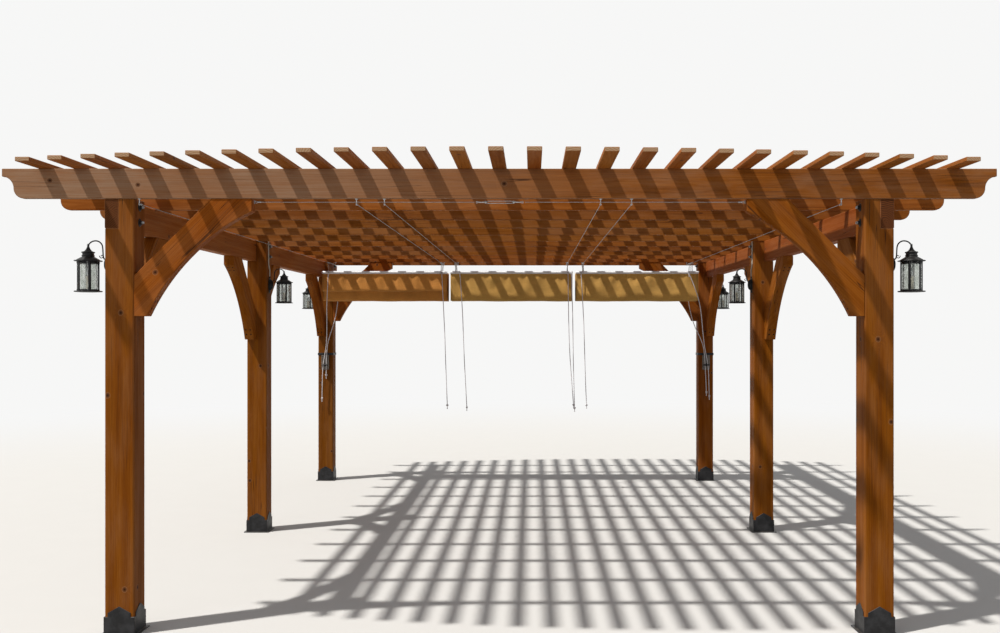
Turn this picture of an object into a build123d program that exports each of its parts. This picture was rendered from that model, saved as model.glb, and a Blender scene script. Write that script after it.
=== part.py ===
from build123d import *
from math import atan, cos, degrees, radians, sin, sqrt, tan
import os

os.makedirs("parts", exist_ok=True)

# A timber pergola that stands free on six posts. X runs along the cross beams,
# Y runs from the front to the back and Z is up. The origin is on the ground,
# in the middle of the plan. All sizes are in millimetres.

# Posts and their plan
post_side = 190.5
post_height = 2814.0
post_edge_ease = 6.0
frame_width = 5100.0
bay_length = 3350.0
bay_count = 2

# Side beams, let into the outer half of the post tops
side_beam_thick = 89.0
side_beam_depth = 193.0
side_beam_tail = 110.0
beam_edge_ease = 4.0

# Cross beams with ogee ends
cross_beam_thick = 38.0
cross_beam_depth = 193.0
cross_beam_overhang = 662.0
cross_beam_proud = 5.0
beams_per_bay = 5
beams_past_back = 1
ogee_cove_radius = 75.0
ogee_round_radius = 67.0

# Shade slats, laid flat in an arc at both ends
slat_width = 89.0
slat_thick = 27.0
slat_count = 27
slat_inset = 280.5
slat_reach_middle = 680.0
slat_reach_side = 305.0

# Curved knee braces
brace_leg = 760.0
brace_seat = 265.0
brace_toe = 80.0
brace_sagitta = 84.0
brace_thick = 89.0

# Post bases
base_wall = 5.0
base_floor = 6.0
base_skirt = 22.0
base_shoulder = 118.0
base_step = 26.0
base_peak = 186.0

# Through bolts at the post tops
bolt_radius = 8.0
bolt_end = 26.0
bolt_spacing = 100.0
washer_radius = 27.0
washer_thick = 4.0
nut_radius = 15.0
nut_height = 13.0
bolt_head_radius = 19.0
bolt_head_height = 9.0
bolt_head_taper = 38.0

# Wall lanterns
lantern_drop = 602.0
lantern_reach = 146.0
lantern_radius = 74.0
lantern_brim = 15.0
lantern_brim_thick = 10.0
lantern_glass_height = 190.0
lantern_bar = 12.0
lantern_roof_height = 22.0
lantern_cap_radius = 40.0
lantern_cap_height = 34.0
lantern_peak_radius = 20.0
lantern_peak_height = 42.0
lantern_arm_radius = 4.5
lantern_loop_rise = 28.0
loop_steps = 5
lantern_plate_width = 84.0
lantern_plate_height = 165.0
lantern_plate_thick = 8.0
lantern_boss_width = 56.0
lantern_boss_height = 112.0
lantern_boss_depth = 40.0
conduit_radius = 6.0
conduit_setback = 48.0
conduit_bend = 60.0
glass_thick = 3.0
candle_radius = 13.0
candle_height = 96.0

# Guide wires of the shade cloths, with their eyes, pulleys and tighteners
wire_radius = 2.0
wire_drop = 34.0
wire_clearance = 0.3
stem_radius = 4.0
eye_radius = 10.0
eye_height = 14.0
swage_radius = 5.0
swage_length = 30.0
turnbuckle_length = 330.0
turnbuckle_body = 190.0
turnbuckle_radius = 9.0
anchor_radius = 12.0
anchor_thick = 5.0
tie_drop = 16.0
tie_setback = 62.0

# Shade cloths, gathered at the back on a rail and battens that slide on the wires
shade_margin_left = 56.0
shade_margin_right = 176.0
shade_gaps = [(-850.0, -805.0), (715.0, 760.0)]
wire_margin_left = 131.0
wire_margin_right = 249.0
wire_gaps = [(-925.0, -745.0), (655.0, 855.0)]
shade_setback = 470.0
rail_radius = 17.0
rail_drop = 156.0
batten_radius = 8.0
fold_count = 5
fold_pitch = 74.0
fold_drop = 330.0
first_fold_drops = [214.0, 330.0, 330.0]
cloth_thick = 4.0
hanger_width = 16.0
hanger_thick = 3.0

# Pull cords and the cleats they are made fast to
cord_radius = 5.0
cord_stub = 14.0
cord_clearance = 0.5
cleat_inset = 95.0
cleat_below_brace = 217.0
cleat_band_height = 30.0
cleat_band_thick = 5.0
cleat_block_width = 92.0
cleat_block_height = 185.0
cleat_block_depth = 40.0
cleat_horn_length = 84.0
cleat_horn_radius = 9.0
cord_margin_left = 138.0
cord_margin_right = 297.0
back_cord_left = 191.0
back_cord_right = 261.0

# Places worked out from the sizes above
ground_to_beam = base_floor + post_height
beam_pitch = bay_length / beams_per_bay
beam_count = bay_count * beams_per_bay + beams_past_back + 1
first_beam_face = -((beam_count - 1) * beam_pitch + cross_beam_thick) / 2
last_beam_face = -first_beam_face
front_post_face = first_beam_face + cross_beam_proud
post_faces = [front_post_face + k * bay_length for k in range(bay_count + 1)]
back_post_face = post_faces[-1]
outer_face = frame_width / 2
inner_face = outer_face - post_side
beam_inner_face = outer_face - side_beam_thick
slat_pitch = 2 * (outer_face + cross_beam_overhang - slat_inset) / (slat_count - 1)
beam_top = ground_to_beam + cross_beam_depth
side_beam_bottom = ground_to_beam - side_beam_depth
side_beam_length = last_beam_face + side_beam_tail - front_post_face
wire_z = ground_to_beam - wire_drop
tie_y = front_post_face + tie_setback
tie_z = ground_to_beam - tie_drop
front_eye_y = first_beam_face + cross_beam_thick / 2
back_eye_y = back_post_face - cross_beam_proud + cross_beam_thick / 2
rail_y = back_post_face - shade_setback
rail_z = ground_to_beam - rail_drop
cloth_top = rail_z - rail_radius
batten_z = cloth_top + batten_radius
shade_edges = [
    (shade_margin_left - beam_inner_face, shade_gaps[0][0]), (shade_gaps[0][1], shade_gaps[1][0]),
    (shade_gaps[1][1], beam_inner_face - shade_margin_right)]
wire_edges = [
    (wire_margin_left - beam_inner_face, wire_gaps[0][0]), (wire_gaps[0][1], wire_gaps[1][0]),
    (wire_gaps[1][1], beam_inner_face - wire_margin_right)]
cord_front = rail_y - rail_radius - cord_stub / 2
cord_left_x = cord_margin_left - beam_inner_face
cord_right_x = beam_inner_face - cord_margin_right
back_cord_left_x = back_cord_left - beam_inner_face
back_cord_right_x = beam_inner_face - back_cord_right
back_cord_y = rail_y + (fold_count - 0.5) * fold_pitch + batten_radius + cord_clearance + cord_radius
cleat_x = outer_face - cleat_inset
brace_foot = side_beam_bottom - brace_leg
cleat_height = brace_foot - cleat_below_brace - cleat_band_height - cleat_block_height
cleat_cord_y = back_post_face - cleat_block_depth - cord_radius - cord_clearance
sides = {"left": -1, "right": 1}
rows = dict(zip(["front", "middle", "back"], post_faces))


def write(shape, name):
    """Write one named piece, or a group of like pieces, to its own file."""
    export_step(shape, "parts/" + name + ".step")


def block(x_low, x_high, y_low, y_high, z_low, z_high):
    """Return a box between two corners."""
    size = Box(x_high - x_low, y_high - y_low, z_high - z_low)
    return Pos((x_low + x_high) / 2, (y_low + y_high) / 2, (z_low + z_high) / 2) * size


def prism(radius, height, sides=8):
    """Return an upright bar with flat sides, as far across its flats as a round one."""
    return extrude(RegularPolygon(radius, sides, major_radius=False, rotation=180 / sides), height)


def along_x(x_low, x_high, y, z, radius, sides=8):
    """Return a thin bar along X."""
    return Pos(x_low, y, z) * Rot(0, 90, 0) * prism(radius, x_high - x_low, sides)


def along_y(x, y_low, y_high, z, radius, sides=8):
    """Return a thin bar along Y."""
    return Pos(x, y_high, z) * Rot(90, 0, 0) * prism(radius, y_high - y_low, sides)


def eased(timber, axis, ease):
    """Return a timber with its long edges taken off by hand."""
    return chamfer(timber.edges().filter_by(axis), ease)


def group(pieces):
    """Return like pieces that don't touch as one compound."""
    return Compound(children=[piece.solid() for piece in pieces])


def post(side, face):
    """Return one post with the notch that the side beam lies in."""
    low, high = sorted((side * inner_face, side * outer_face))
    timber = block(low, high, face, face + post_side, base_floor, ground_to_beam)
    timber = eased(timber, Axis.Z, post_edge_ease)
    low, high = sorted((side * (outer_face - side_beam_thick), side * (outer_face + 1)))
    notch = block(low, high, face - 1, face + post_side + 1, side_beam_bottom, ground_to_beam + 1)
    return timber - notch


def side_beam(side):
    """Return the beam that runs through the three posts of one side."""
    low, high = sorted((side * (outer_face - side_beam_thick), side * outer_face))
    back = front_post_face + side_beam_length
    timber = block(low, high, front_post_face, back, side_beam_bottom, ground_to_beam)
    return eased(timber, Axis.Y, beam_edge_ease)


def cross_beam(index):
    """Return one cross beam, cut to an ogee at both ends."""
    half = outer_face + cross_beam_overhang
    waist = ground_to_beam + ogee_round_radius
    neck = half - ogee_cove_radius
    heel = neck - ogee_round_radius
    lean = sin(radians(45))
    cove_middle = (half - ogee_cove_radius * lean, waist + ogee_cove_radius * lean)
    round_middle = (heel + ogee_round_radius * lean, waist - ogee_round_radius * lean)
    with BuildSketch(Plane.XZ) as profile:
        with BuildLine():
            Polyline((0, ground_to_beam), (0, beam_top), (half, beam_top), (half, waist + ogee_cove_radius))
            ThreePointArc((half, waist + ogee_cove_radius), cove_middle, (neck, waist))
            ThreePointArc((neck, waist), round_middle, (heel, ground_to_beam))
            Line((heel, ground_to_beam), (0, ground_to_beam))
        make_face()
        mirror(about=Plane.YZ)
    face = first_beam_face + index * beam_pitch
    return Pos(0, face, 0) * extrude(profile.sketch, -cross_beam_thick)


def slat_reach(x):
    """Return how far a slat at x runs past the end beams, along a circle's arc."""
    half_chord = (slat_count - 1) / 2 * slat_pitch
    rise = slat_reach_middle - slat_reach_side
    radius = (half_chord**2 + rise**2) / (2 * rise)
    return slat_reach_middle - radius + sqrt(radius**2 - x**2)


def slat(index):
    """Return one slat, lying flat over all the cross beams."""
    x = (index - (slat_count - 1) / 2) * slat_pitch
    end = last_beam_face + slat_reach(x)
    return block(x - slat_width / 2, x + slat_width / 2, -end, end, beam_top, beam_top + slat_thick)


def brace_profile():
    """Return the outline of a knee brace, with its corner at the post and the beam."""
    inner = brace_leg - brace_seat
    middle = (brace_leg + brace_toe) / 2 - brace_sagitta * sin(radians(45))
    with BuildSketch() as outline:
        with BuildLine():
            Line((0, -inner), (inner, 0))
            Line((inner, 0), (brace_leg, 0))
            Line((brace_leg, 0), (brace_leg, -brace_toe))
            ThreePointArc((brace_leg, -brace_toe), (middle, -middle), (brace_toe, -brace_leg))
            Line((brace_toe, -brace_leg), (0, -brace_leg))
            Line((0, -brace_leg), (0, -inner))
        make_face()
    return outline.sketch


def cross_brace(side, face):
    """Return the brace from a post up to the cross beam that lies on its front edge."""
    shape = brace_profile() if side < 0 else mirror(brace_profile(), Plane.YZ)
    brace = extrude(Plane.XZ * shape, -brace_thick)
    return Pos(side * inner_face, face, ground_to_beam) * brace


def side_brace(side, face, way):
    """Return the brace from a post to the side beam, to the front or to the back."""
    brace = extrude(Plane.YZ * brace_profile(), side_beam_thick)
    if way < 0:
        brace = mirror(brace, Plane.XZ)
    start = face + post_side if way > 0 else face
    low = min(side * (outer_face - side_beam_thick), side * outer_face)
    return Pos(low, start, side_beam_bottom) * brace


def post_base(side, face):
    """Return the steel base of one post: a floor, a sleeve and a peaked top on each side."""
    x_mid = side * (outer_face - post_side / 2)
    y_mid = face + post_side / 2
    outer = post_side + 2 * base_wall
    half = outer / 2
    plate = Box(outer + 2 * base_skirt, outer + 2 * base_skirt, base_floor)
    plate = Pos(0, 0, base_floor / 2) * chamfer(plate.edges().filter_by(Axis.Z), base_skirt / 2)
    with BuildSketch(Plane.XZ) as crest:
        with BuildLine():
            Polyline((-half, 0), (half, 0), (half, base_shoulder), (half - base_step, base_shoulder))
            Line((half - base_step, base_shoulder), (half - base_step, base_shoulder + base_step))
            Line((half - base_step, base_shoulder + base_step), (0, base_peak))
            Line((0, base_peak), (base_step - half, base_shoulder + base_step))
            Line((base_step - half, base_shoulder + base_step), (base_step - half, base_shoulder))
            Polyline((base_step - half, base_shoulder), (-half, base_shoulder), (-half, 0))
        make_face()
    sleeve = extrude(Pos(0, half, 0) * crest.sketch, outer)
    across = Rot(0, 0, 90) * sleeve
    core = Pos(0, 0, base_peak) * Box(post_side, post_side, 2 * base_peak)
    body = (sleeve - core) + (across - core) + plate
    return Pos(x_mid, y_mid, 0) * body


def bolt_set(side, face):
    """Return the ends of the two bolts through one post top: nuts inside, heads outside."""
    ends = []
    y = face + post_side / 2
    z_mid = ground_to_beam - side_beam_depth / 2
    for z in (z_mid - bolt_spacing / 2, z_mid + bolt_spacing / 2):
        washer = prism(washer_radius, washer_thick)
        nut_end = washer + Pos(0, 0, washer_thick) * prism(nut_radius, nut_height, 6)
        nut_end += prism(bolt_radius, washer_thick + bolt_end, 6)
        crown = RegularPolygon(bolt_head_radius, 8, major_radius=False)
        head_end = washer + extrude(Pos(0, 0, washer_thick) * crown, bolt_head_height, taper=bolt_head_taper)
        inward = Rot(0, -90 * side, 0)
        outward = Rot(0, 90 * side, 0)
        ends.append(Pos(side * inner_face, y, z) * inward * nut_end)
        ends.append(Pos(side * outer_face, y, z) * outward * head_end)
    return ends


def hexagon(radius, z_low, height):
    """Return a hexagonal slab with two of its corners on X."""
    return Pos(0, 0, z_low) * extrude(RegularPolygon(radius, 6), height)


def hip(radius, top_radius, z_low, height):
    """Return a hexagonal roof that narrows evenly from its foot to its top."""
    slope = degrees(atan((radius - top_radius) * cos(radians(30)) / height))
    return Pos(0, 0, z_low) * extrude(RegularPolygon(radius, 6), height, taper=slope)


def lantern_frame():
    """Return a lantern's metal, with the wall at X = 0 and the body's bottom at Z = 0."""
    rim = lantern_radius + lantern_brim
    glass_top = lantern_brim_thick + lantern_glass_height
    roof_low = glass_top + lantern_brim_thick
    cap_low = roof_low + lantern_roof_height
    peak_low = cap_low + lantern_cap_height
    peak = peak_low + lantern_peak_height
    body = hexagon(rim, 0, lantern_brim_thick)
    body += hexagon(rim, glass_top, lantern_brim_thick)
    reach = lantern_radius - lantern_bar / 2
    for k in range(6):
        bar = Box(lantern_bar, lantern_bar, lantern_glass_height)
        middle = lantern_brim_thick + lantern_glass_height / 2
        body += Rot(0, 0, 60 * k) * Pos(reach, 0, middle) * bar
    body += hip(lantern_radius, lantern_cap_radius, roof_low, lantern_roof_height)
    body += hexagon(lantern_cap_radius, cap_low, lantern_cap_height)
    body += hip(lantern_peak_radius, lantern_arm_radius, peak_low, lantern_peak_height)
    body = Pos(lantern_reach, 0, 0) * body
    plate_middle = glass_top + lantern_brim_thick - lantern_boss_height / 4
    for width, height, depth in (
            (lantern_plate_width, lantern_plate_height, lantern_plate_thick),
            (lantern_boss_width, lantern_boss_height, lantern_boss_depth)):
        plate = Plane.YZ * chamfer(Rectangle(width, height).vertices(), width * 0.28)
        body += Pos(0, 0, plate_middle) * extrude(plate, depth)
    knee = plate_middle + lantern_boss_height / 2 - lantern_boss_width / 2
    crown = peak + lantern_loop_rise
    rise = lantern_boss_depth + 2 * lantern_arm_radius
    drop = lantern_reach - lantern_peak_radius / 2
    loop = (drop - rise) / 2
    outline = [(lantern_boss_depth / 2, knee), (rise, knee)]
    for step in range(loop_steps + 1):
        turn = radians(180 * step / loop_steps)
        outline.append((rise + loop * (1 - cos(turn)), crown - loop + loop * sin(turn)))
    outline.append((drop, peak_low))
    arm = trace(Polyline(*outline), lantern_arm_radius * 2)
    return body + Pos(0, lantern_arm_radius, 0) * extrude(Plane.XZ * arm, 2 * lantern_arm_radius)


def lantern_panes():
    """Return the six panes of one lantern, each standing between its two bars."""
    panes = []
    apothem = (lantern_radius - lantern_bar / 2) * cos(radians(30))
    width = lantern_radius - lantern_bar * 2.2
    middle = lantern_brim_thick + lantern_glass_height / 2
    for k in range(6):
        pane = Box(glass_thick, width, lantern_glass_height)
        panes.append(Rot(0, 0, 60 * k + 30) * Pos(apothem, 0, middle) * pane)
    return [Pos(lantern_reach, 0, 0) * pane for pane in panes]


def lantern_candle():
    """Return the candle sleeve that stands on one lantern's floor."""
    return Pos(lantern_reach, 0, lantern_brim_thick) * prism(candle_radius, candle_height)


def lantern_place(side, row):
    """Return where a lantern hangs: on the outer face, or inside on the middle posts."""
    z = ground_to_beam - lantern_drop
    y = rows[row] + post_side / 2
    inward = row == "middle"
    x = side * (inner_face if inward else outer_face)
    turn = 0 if (side > 0) != inward else 180
    return Pos(x, y, z) * Rot(0, 0, turn)


def conduit(side):
    """Return the conduit that comes down a middle post's inner face to the lantern's plate."""
    x = side * (inner_face - conduit_radius)
    y = rows["middle"] + post_side / 2
    glass_top = lantern_brim_thick + lantern_glass_height
    plate_top = glass_top + lantern_brim_thick - lantern_boss_height / 4 + lantern_plate_height / 2
    low = ground_to_beam - lantern_drop + plate_top
    route = Polyline(
        (x, y - conduit_setback, ground_to_beam), (x, y - conduit_setback, low + 2 * conduit_bend),
        (x, y, low + conduit_bend), (x, y, low))
    section = Plane(origin=route @ 0, z_dir=route % 0) * RegularPolygon(conduit_radius, 8)
    return sweep(section, route, transition=Transition.RIGHT)


def batten_places():
    """Return the Y of each batten: one on every crest and one at the last fold's end."""
    crests = [rail_y + (k + 0.75) * fold_pitch for k in range(fold_count - 1)]
    return crests + [rail_y + (fold_count - 0.5) * fold_pitch]


def shade_cloth(edges, first_drop):
    """Return one gathered cloth as folds that hang from its rail and its battens."""
    top = cloth_top - cloth_thick / 2
    half = fold_pitch / 2
    profile = Sketch()
    for k in range(2 * fold_count):
        y = rail_y + k * half
        drop = first_drop if k < 2 else fold_drop
        profile += Pos(y, top - drop / 2) * Rectangle(cloth_thick, drop + cloth_thick)
        if k < 2 * fold_count - 1:
            turn = top - drop if k % 2 == 0 else top
            profile += Pos(y + half / 2, turn) * Rectangle(half, cloth_thick)
    return Pos(edges[0], 0, 0) * extrude(Plane.YZ * profile, edges[1] - edges[0])


def shade_rail(edges, cord_places):
    """Return one cloth's front rail with the stubs that its pull cords hang from."""
    rail = along_x(edges[0], edges[1], rail_y, rail_z, rail_radius, 12)
    for x in cord_places:
        low = cord_front - cord_stub / 2
        rail += block(x - cord_stub / 2, x + cord_stub / 2, low, rail_y, rail_z - cord_stub / 2,
                      rail_z + cord_stub / 2)
    return rail


def shade_hangers(edges):
    """Return the flat hooks that carry one cloth's rail and battens from its two wires."""
    hooks = []
    half = hanger_width / 2
    slot = wire_radius + wire_clearance
    seats = [(rail_y, rail_z + rail_radius)]
    seats += [(y, batten_z + batten_radius) for y in batten_places()]
    for y, seat in seats:
        outline = Polyline(
            (-half, seat), (-slot, seat), (-slot, wire_z + slot), (half, wire_z + slot),
            (half, wire_z + half), (-half, wire_z + half), (-half, seat))
        hook = extrude(Plane.XZ * make_face(outline), hanger_thick)
        for x in edges:
            hooks.append(Pos(x, y + hanger_thick / 2, 0) * hook)
    return hooks


def guide_eye(x, y):
    """Return the eye under a cross beam that one end of a wire is held by."""
    stem_length = ground_to_beam - wire_z
    eye = Pos(0, 0, -eye_height / 2) * prism(eye_radius, eye_height, 6)
    return Pos(x, y, wire_z) * (eye + prism(stem_radius, stem_length, 6))


def guide_wire(x):
    """Return one wire, pulled tight between its front eye and its back eye."""
    reach = eye_radius / cos(radians(30))
    return along_y(x, front_eye_y + reach, back_eye_y - reach, wire_z, wire_radius)


def tie_anchor(side):
    """Return the anchor of the tie wire on the nose of a front cross brace."""
    nose = inner_face - brace_leg
    anchor = along_x(nose - anchor_thick, nose, tie_y, tie_z, anchor_radius, 6)
    anchor += along_x(nose - anchor_thick - swage_length, nose, tie_y, tie_z, swage_radius, 6)
    return anchor if side > 0 else mirror(anchor, Plane.YZ)


def tie_wire(side):
    """Return half of the tie wire, from the turnbuckle to a brace."""
    start = turnbuckle_length / 2
    end = inner_face - brace_leg - anchor_thick - swage_length
    wire = along_x(start, end, tie_y, tie_z, wire_radius)
    return wire if side > 0 else mirror(wire, Plane.YZ)


def turnbuckle():
    """Return the tightener in the middle of the tie wire."""
    body = along_x(-turnbuckle_body / 2, turnbuckle_body / 2, tie_y, tie_z, turnbuckle_radius)
    body += along_x(-turnbuckle_length / 2, turnbuckle_length / 2, tie_y, tie_z, swage_radius, 6)
    return body


def cleat(side):
    """Return the band round a back post with its cleat block and horn."""
    x_mid = side * (outer_face - post_side / 2)
    y_mid = back_post_face + post_side / 2
    wide = post_side + 2 * cleat_band_thick
    band = Box(wide, wide, cleat_band_height) - Box(post_side, post_side, cleat_band_height)
    top = cleat_height + cleat_block_height
    body = Pos(x_mid, y_mid, top + cleat_band_height / 2) * band
    x = side * cleat_x
    face = back_post_face - cleat_block_depth
    left, right = x - cleat_block_width / 2, x + cleat_block_width / 2
    body += block(left, right, face, back_post_face, cleat_height, top)
    horn_z = cleat_height + cleat_block_height / 3
    horn_y = cleat_cord_y - cord_radius - cord_clearance - cleat_horn_radius
    body += along_x(x - cleat_horn_length / 2, x + cleat_horn_length / 2, horn_y, horn_z, cleat_horn_radius)
    return body + along_y(x, horn_y, face, horn_z, cleat_horn_radius)


def cord(name, points):
    """Write one pull cord as a tube whose bends are as wide as its runs allow."""
    corners = [Vector(*point) for point in points]
    radii = []
    for a, b, c in zip(corners, corners[1:], corners[2:]):
        turn = radians((b - a).get_angle(c - b))
        radii.append(0.45 * min((b - a).length, (c - b).length) / tan(turn / 2))
    path = FilletPolyline(*corners, radius=radii)
    section = Plane(origin=path @ 0, z_dir=path % 0) * RegularPolygon(cord_radius, 4)
    tube = sweep(section, path)
    print(name, "bend radii", [round(radius) for radius in radii], "length", round(path.length))
    write(tube, name)


for row, face in rows.items():
    for name, side in sides.items():
        write(post(side, face), "post_" + row + "_" + name)
    write(group([post_base(side, face) for side in sides.values()]), "post_bases_" + row)

for name, side in sides.items():
    write(side_beam(side), "side_beam_" + name)

write(cross_beam(0), "cross_beam_front")
for name, bay in {"front": 0, "back": 1}.items():
    first = bay * beams_per_bay + 1
    between = [cross_beam(index) for index in range(first, first + beams_per_bay - 1)]
    write(group(between), "cross_beams_" + name + "_bay")
write(cross_beam(beams_per_bay), "cross_beam_middle")
past = [cross_beam(index) for index in range(bay_count * beams_per_bay, beam_count)]
write(group(past), "cross_beams_back")

third = slat_count // 3
for count, name in enumerate(["left", "middle", "right"]):
    first = count * third
    last = slat_count if name == "right" else first + third
    write(group([slat(index) for index in range(first, last)]), "slats_" + name)

for row in ("front", "back"):
    write(group([cross_brace(side, rows[row]) for side in sides.values()]), "cross_braces_" + row)

for name, side in sides.items():
    braces = [side_brace(side, face, 1) for face in post_faces[:-1]]
    braces += [side_brace(side, face, -1) for face in post_faces[1:]]
    write(group(braces), "side_braces_" + name)

bolts = []
for side in sides.values():
    for face in post_faces:
        bolts += bolt_set(side, face)
write(group(bolts), "bolts")

for row in rows:
    places = [lantern_place(side, row) for side in sides.values()]
    write(group([place * lantern_frame() for place in places]), "lanterns_" + row)

panes = []
candles = []
for row in rows:
    for side in sides.values():
        place = lantern_place(side, row)
        panes += [place * pane for pane in lantern_panes()]
        candles.append(place * lantern_candle())
write(group([conduit(side) for side in sides.values()]), "lantern_conduits")
write(group(panes), "lantern_panes")
write(group(candles), "lantern_candles")

stub_places = [[cord_left_x, -912.0], [-687.0, 659.0, 700.0], [821.0, cord_right_x]]
rails = []
battens = []
hangers = []
wires = []
fittings = []
for edges, wire_pair, stubs in zip(shade_edges, wire_edges, stub_places):
    rails.append(shade_rail(edges, stubs))
    for y in batten_places():
        battens.append(along_x(edges[0], edges[1], y, batten_z, batten_radius))
    hangers += shade_hangers(wire_pair)
    for x in wire_pair:
        wires.append(guide_wire(x))
        fittings += [guide_eye(x, front_eye_y), guide_eye(x, back_eye_y)]
wires += [tie_wire(side) for side in sides.values()]
fittings += [tie_anchor(side) for side in sides.values()]
fittings.append(turnbuckle())
for name, edges, drop in zip(["left", "middle", "right"], shade_edges, first_fold_drops):
    write(shade_cloth(edges, drop), "shade_cloth_" + name)
write(group(rails), "shade_rails")
write(group(battens), "shade_battens")
write(group(hangers), "shade_hangers")
write(group(wires), "guide_wires")
write(group(fittings), "wire_fittings")
write(group([cleat(side) for side in sides.values()]), "cord_cleats")

start_z = rail_z - cord_stub / 2 - cord_clearance
low_front = cloth_top - fold_drop - 110
cord("pull_cord_left", [
    (cord_left_x, cord_front, start_z), (cord_left_x - 13, cord_front, cloth_top - 227),
    (cord_left_x - 23, cord_front + 13, low_front + 23),
    (cord_left_x - 49, cord_front + 161, low_front - 197),
    (30 - cleat_x, cleat_cord_y - 41.7, cleat_height + 325),
    (-1 - cleat_x, cleat_cord_y, cleat_height + 195),
    (-26 - cleat_x, cleat_cord_y, cleat_height + 45), (-34 - cleat_x, cleat_cord_y, cleat_height - 145),
    (-37 - cleat_x, cleat_cord_y, cleat_height - 367)])
cord("pull_cord_right", [
    (cord_right_x, cord_front, start_z - 1.5), (cord_right_x + 68, cord_front, cloth_top - 157),
    (cord_right_x + 126, cord_front, cloth_top - 337), (cord_right_x + 156, cord_front + 33, low_front - 47),
    (cord_right_x + 196, cord_front + 183, low_front - 227),
    (cleat_x - 35, cleat_cord_y - 36.7, cleat_height + 330), (cleat_x - 7, cleat_cord_y, cleat_height + 205),
    (cleat_x + 25, cleat_cord_y, cleat_height + 45), (cleat_x + 31, cleat_cord_y, cleat_height - 145),
    (cleat_x + 37, cleat_cord_y, cleat_height - 341)])
cord("pull_cord_left_back", [
    (back_cord_left_x, back_cord_y, batten_z), (back_cord_left_x - 2, back_cord_y, cloth_top - 190),
    (back_cord_left_x - 7, back_cord_y + 4, cloth_top - 370),
    (back_cord_left_x - 49, back_cord_y + 30, 2060),
    (48 - cleat_x, cleat_cord_y - 16, cleat_height + 390), (24 - cleat_x, cleat_cord_y, cleat_height + 240),
    (17 - cleat_x, cleat_cord_y, cleat_height + 80), (18 - cleat_x, cleat_cord_y, cleat_height - 70)])
cord("pull_cord_right_back", [
    (back_cord_right_x, back_cord_y, batten_z), (back_cord_right_x + 2, back_cord_y, cloth_top - 190),
    (back_cord_right_x + 15, back_cord_y + 4, cloth_top - 370),
    (back_cord_right_x + 80, back_cord_y + 30, 2020),
    (cleat_x - 62, cleat_cord_y - 16, cleat_height + 375), (cleat_x - 26, cleat_cord_y, cleat_height + 230),
    (cleat_x - 17, cleat_cord_y, cleat_height + 60), (cleat_x - 7, cleat_cord_y, cleat_height - 120),
    (cleat_x, cleat_cord_y, cleat_height - 290)])
cord("pull_cord_1", [(-912, cord_front, start_z), (-891, cord_front, 2250), (-872, cord_front, 1830),
                     (-860, cord_front, 1420), (-843, cord_front, 1010)])
cord("pull_cord_2", [(-687, cord_front, start_z), (-654, cord_front, 2220), (-641, cord_front, 1790),
                     (-622, cord_front, 1380), (-600, cord_front, 985)])
cord("pull_cord_3", [(659, cord_front, start_z), (664, cord_front, 2230), (672, cord_front, 1810),
                     (696, cord_front, 1400), (727, cord_front, 1015)])
cord("pull_cord_4", [(700, cord_front, start_z), (716, cord_front, 2220), (721, cord_front, 1790),
                     (728, cord_front, 1370), (740, cord_front, 975)])
cord("pull_cord_5", [(821, cord_front, start_z), (846, cord_front, 2240), (862, cord_front, 1820),
                     (871, cord_front, 1410), (889, cord_front, 1010)])
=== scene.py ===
"""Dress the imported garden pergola: oiled cedar, black iron, canvas shades, steel wires and white cords."""
import logging
import math
from dataclasses import dataclass
from enum import Enum
from typing import Optional, Sequence, Union

import bmesh
import bpy
from mathutils import Matrix, Vector, noise

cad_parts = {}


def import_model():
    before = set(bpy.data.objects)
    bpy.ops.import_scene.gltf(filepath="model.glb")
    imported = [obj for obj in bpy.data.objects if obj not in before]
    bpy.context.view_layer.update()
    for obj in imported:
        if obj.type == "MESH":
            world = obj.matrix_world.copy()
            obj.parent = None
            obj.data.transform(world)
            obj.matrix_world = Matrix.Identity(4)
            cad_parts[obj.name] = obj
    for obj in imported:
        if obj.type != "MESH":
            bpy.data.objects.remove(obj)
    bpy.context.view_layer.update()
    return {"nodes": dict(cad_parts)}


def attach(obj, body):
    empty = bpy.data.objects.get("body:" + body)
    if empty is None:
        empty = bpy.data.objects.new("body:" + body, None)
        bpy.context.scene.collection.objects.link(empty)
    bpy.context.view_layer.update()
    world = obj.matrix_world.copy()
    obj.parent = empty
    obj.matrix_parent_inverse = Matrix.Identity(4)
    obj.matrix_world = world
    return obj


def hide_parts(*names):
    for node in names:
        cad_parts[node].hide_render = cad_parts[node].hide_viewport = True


LOG = logging.getLogger("pergola")
Colour = tuple[float, float, float]
Point = tuple[float, float, float]
Profile = Sequence[tuple[float, float]]
Socket = bpy.types.NodeSocket
Thing = bpy.types.Object
Material = bpy.types.Material


@dataclass(frozen=True)
class FrameSizes:
    """The timber frame's sizes, in metres, as the model has them."""

    post_side: float = 0.1905
    outer: float = 2.55
    inner: float = 2.3595
    beam: float = 2.82
    beam_half: float = 0.0965
    beam_top: float = 3.013
    slat_half: float = 0.0135
    timber_inset: float = 0.0445
    first_post: float = -3.699
    bay: float = 3.35
    first_beam: float = -3.685
    beam_pitch: float = 0.67
    slat_pitch: float = 0.2255
    wire_z: float = 2.786
    rail_y: float = 2.531
    rail_z: float = 2.664
    rail_radius: float = 0.017
    cord_y: float = 2.507
    cloth_top: float = 2.647
    fold_pitch: float = 0.074
    fold_count: int = 5
    fold_drop: float = 0.33
    lantern_low: float = 2.218
    cleat_x: float = 2.455
    cleat_z: float = 1.435

    def post_middle(self, row: int) -> float:
        """Return the Y of the middle of a row of posts, 0 at the front."""
        return self.first_post + row * self.bay + self.post_side / 2


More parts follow.
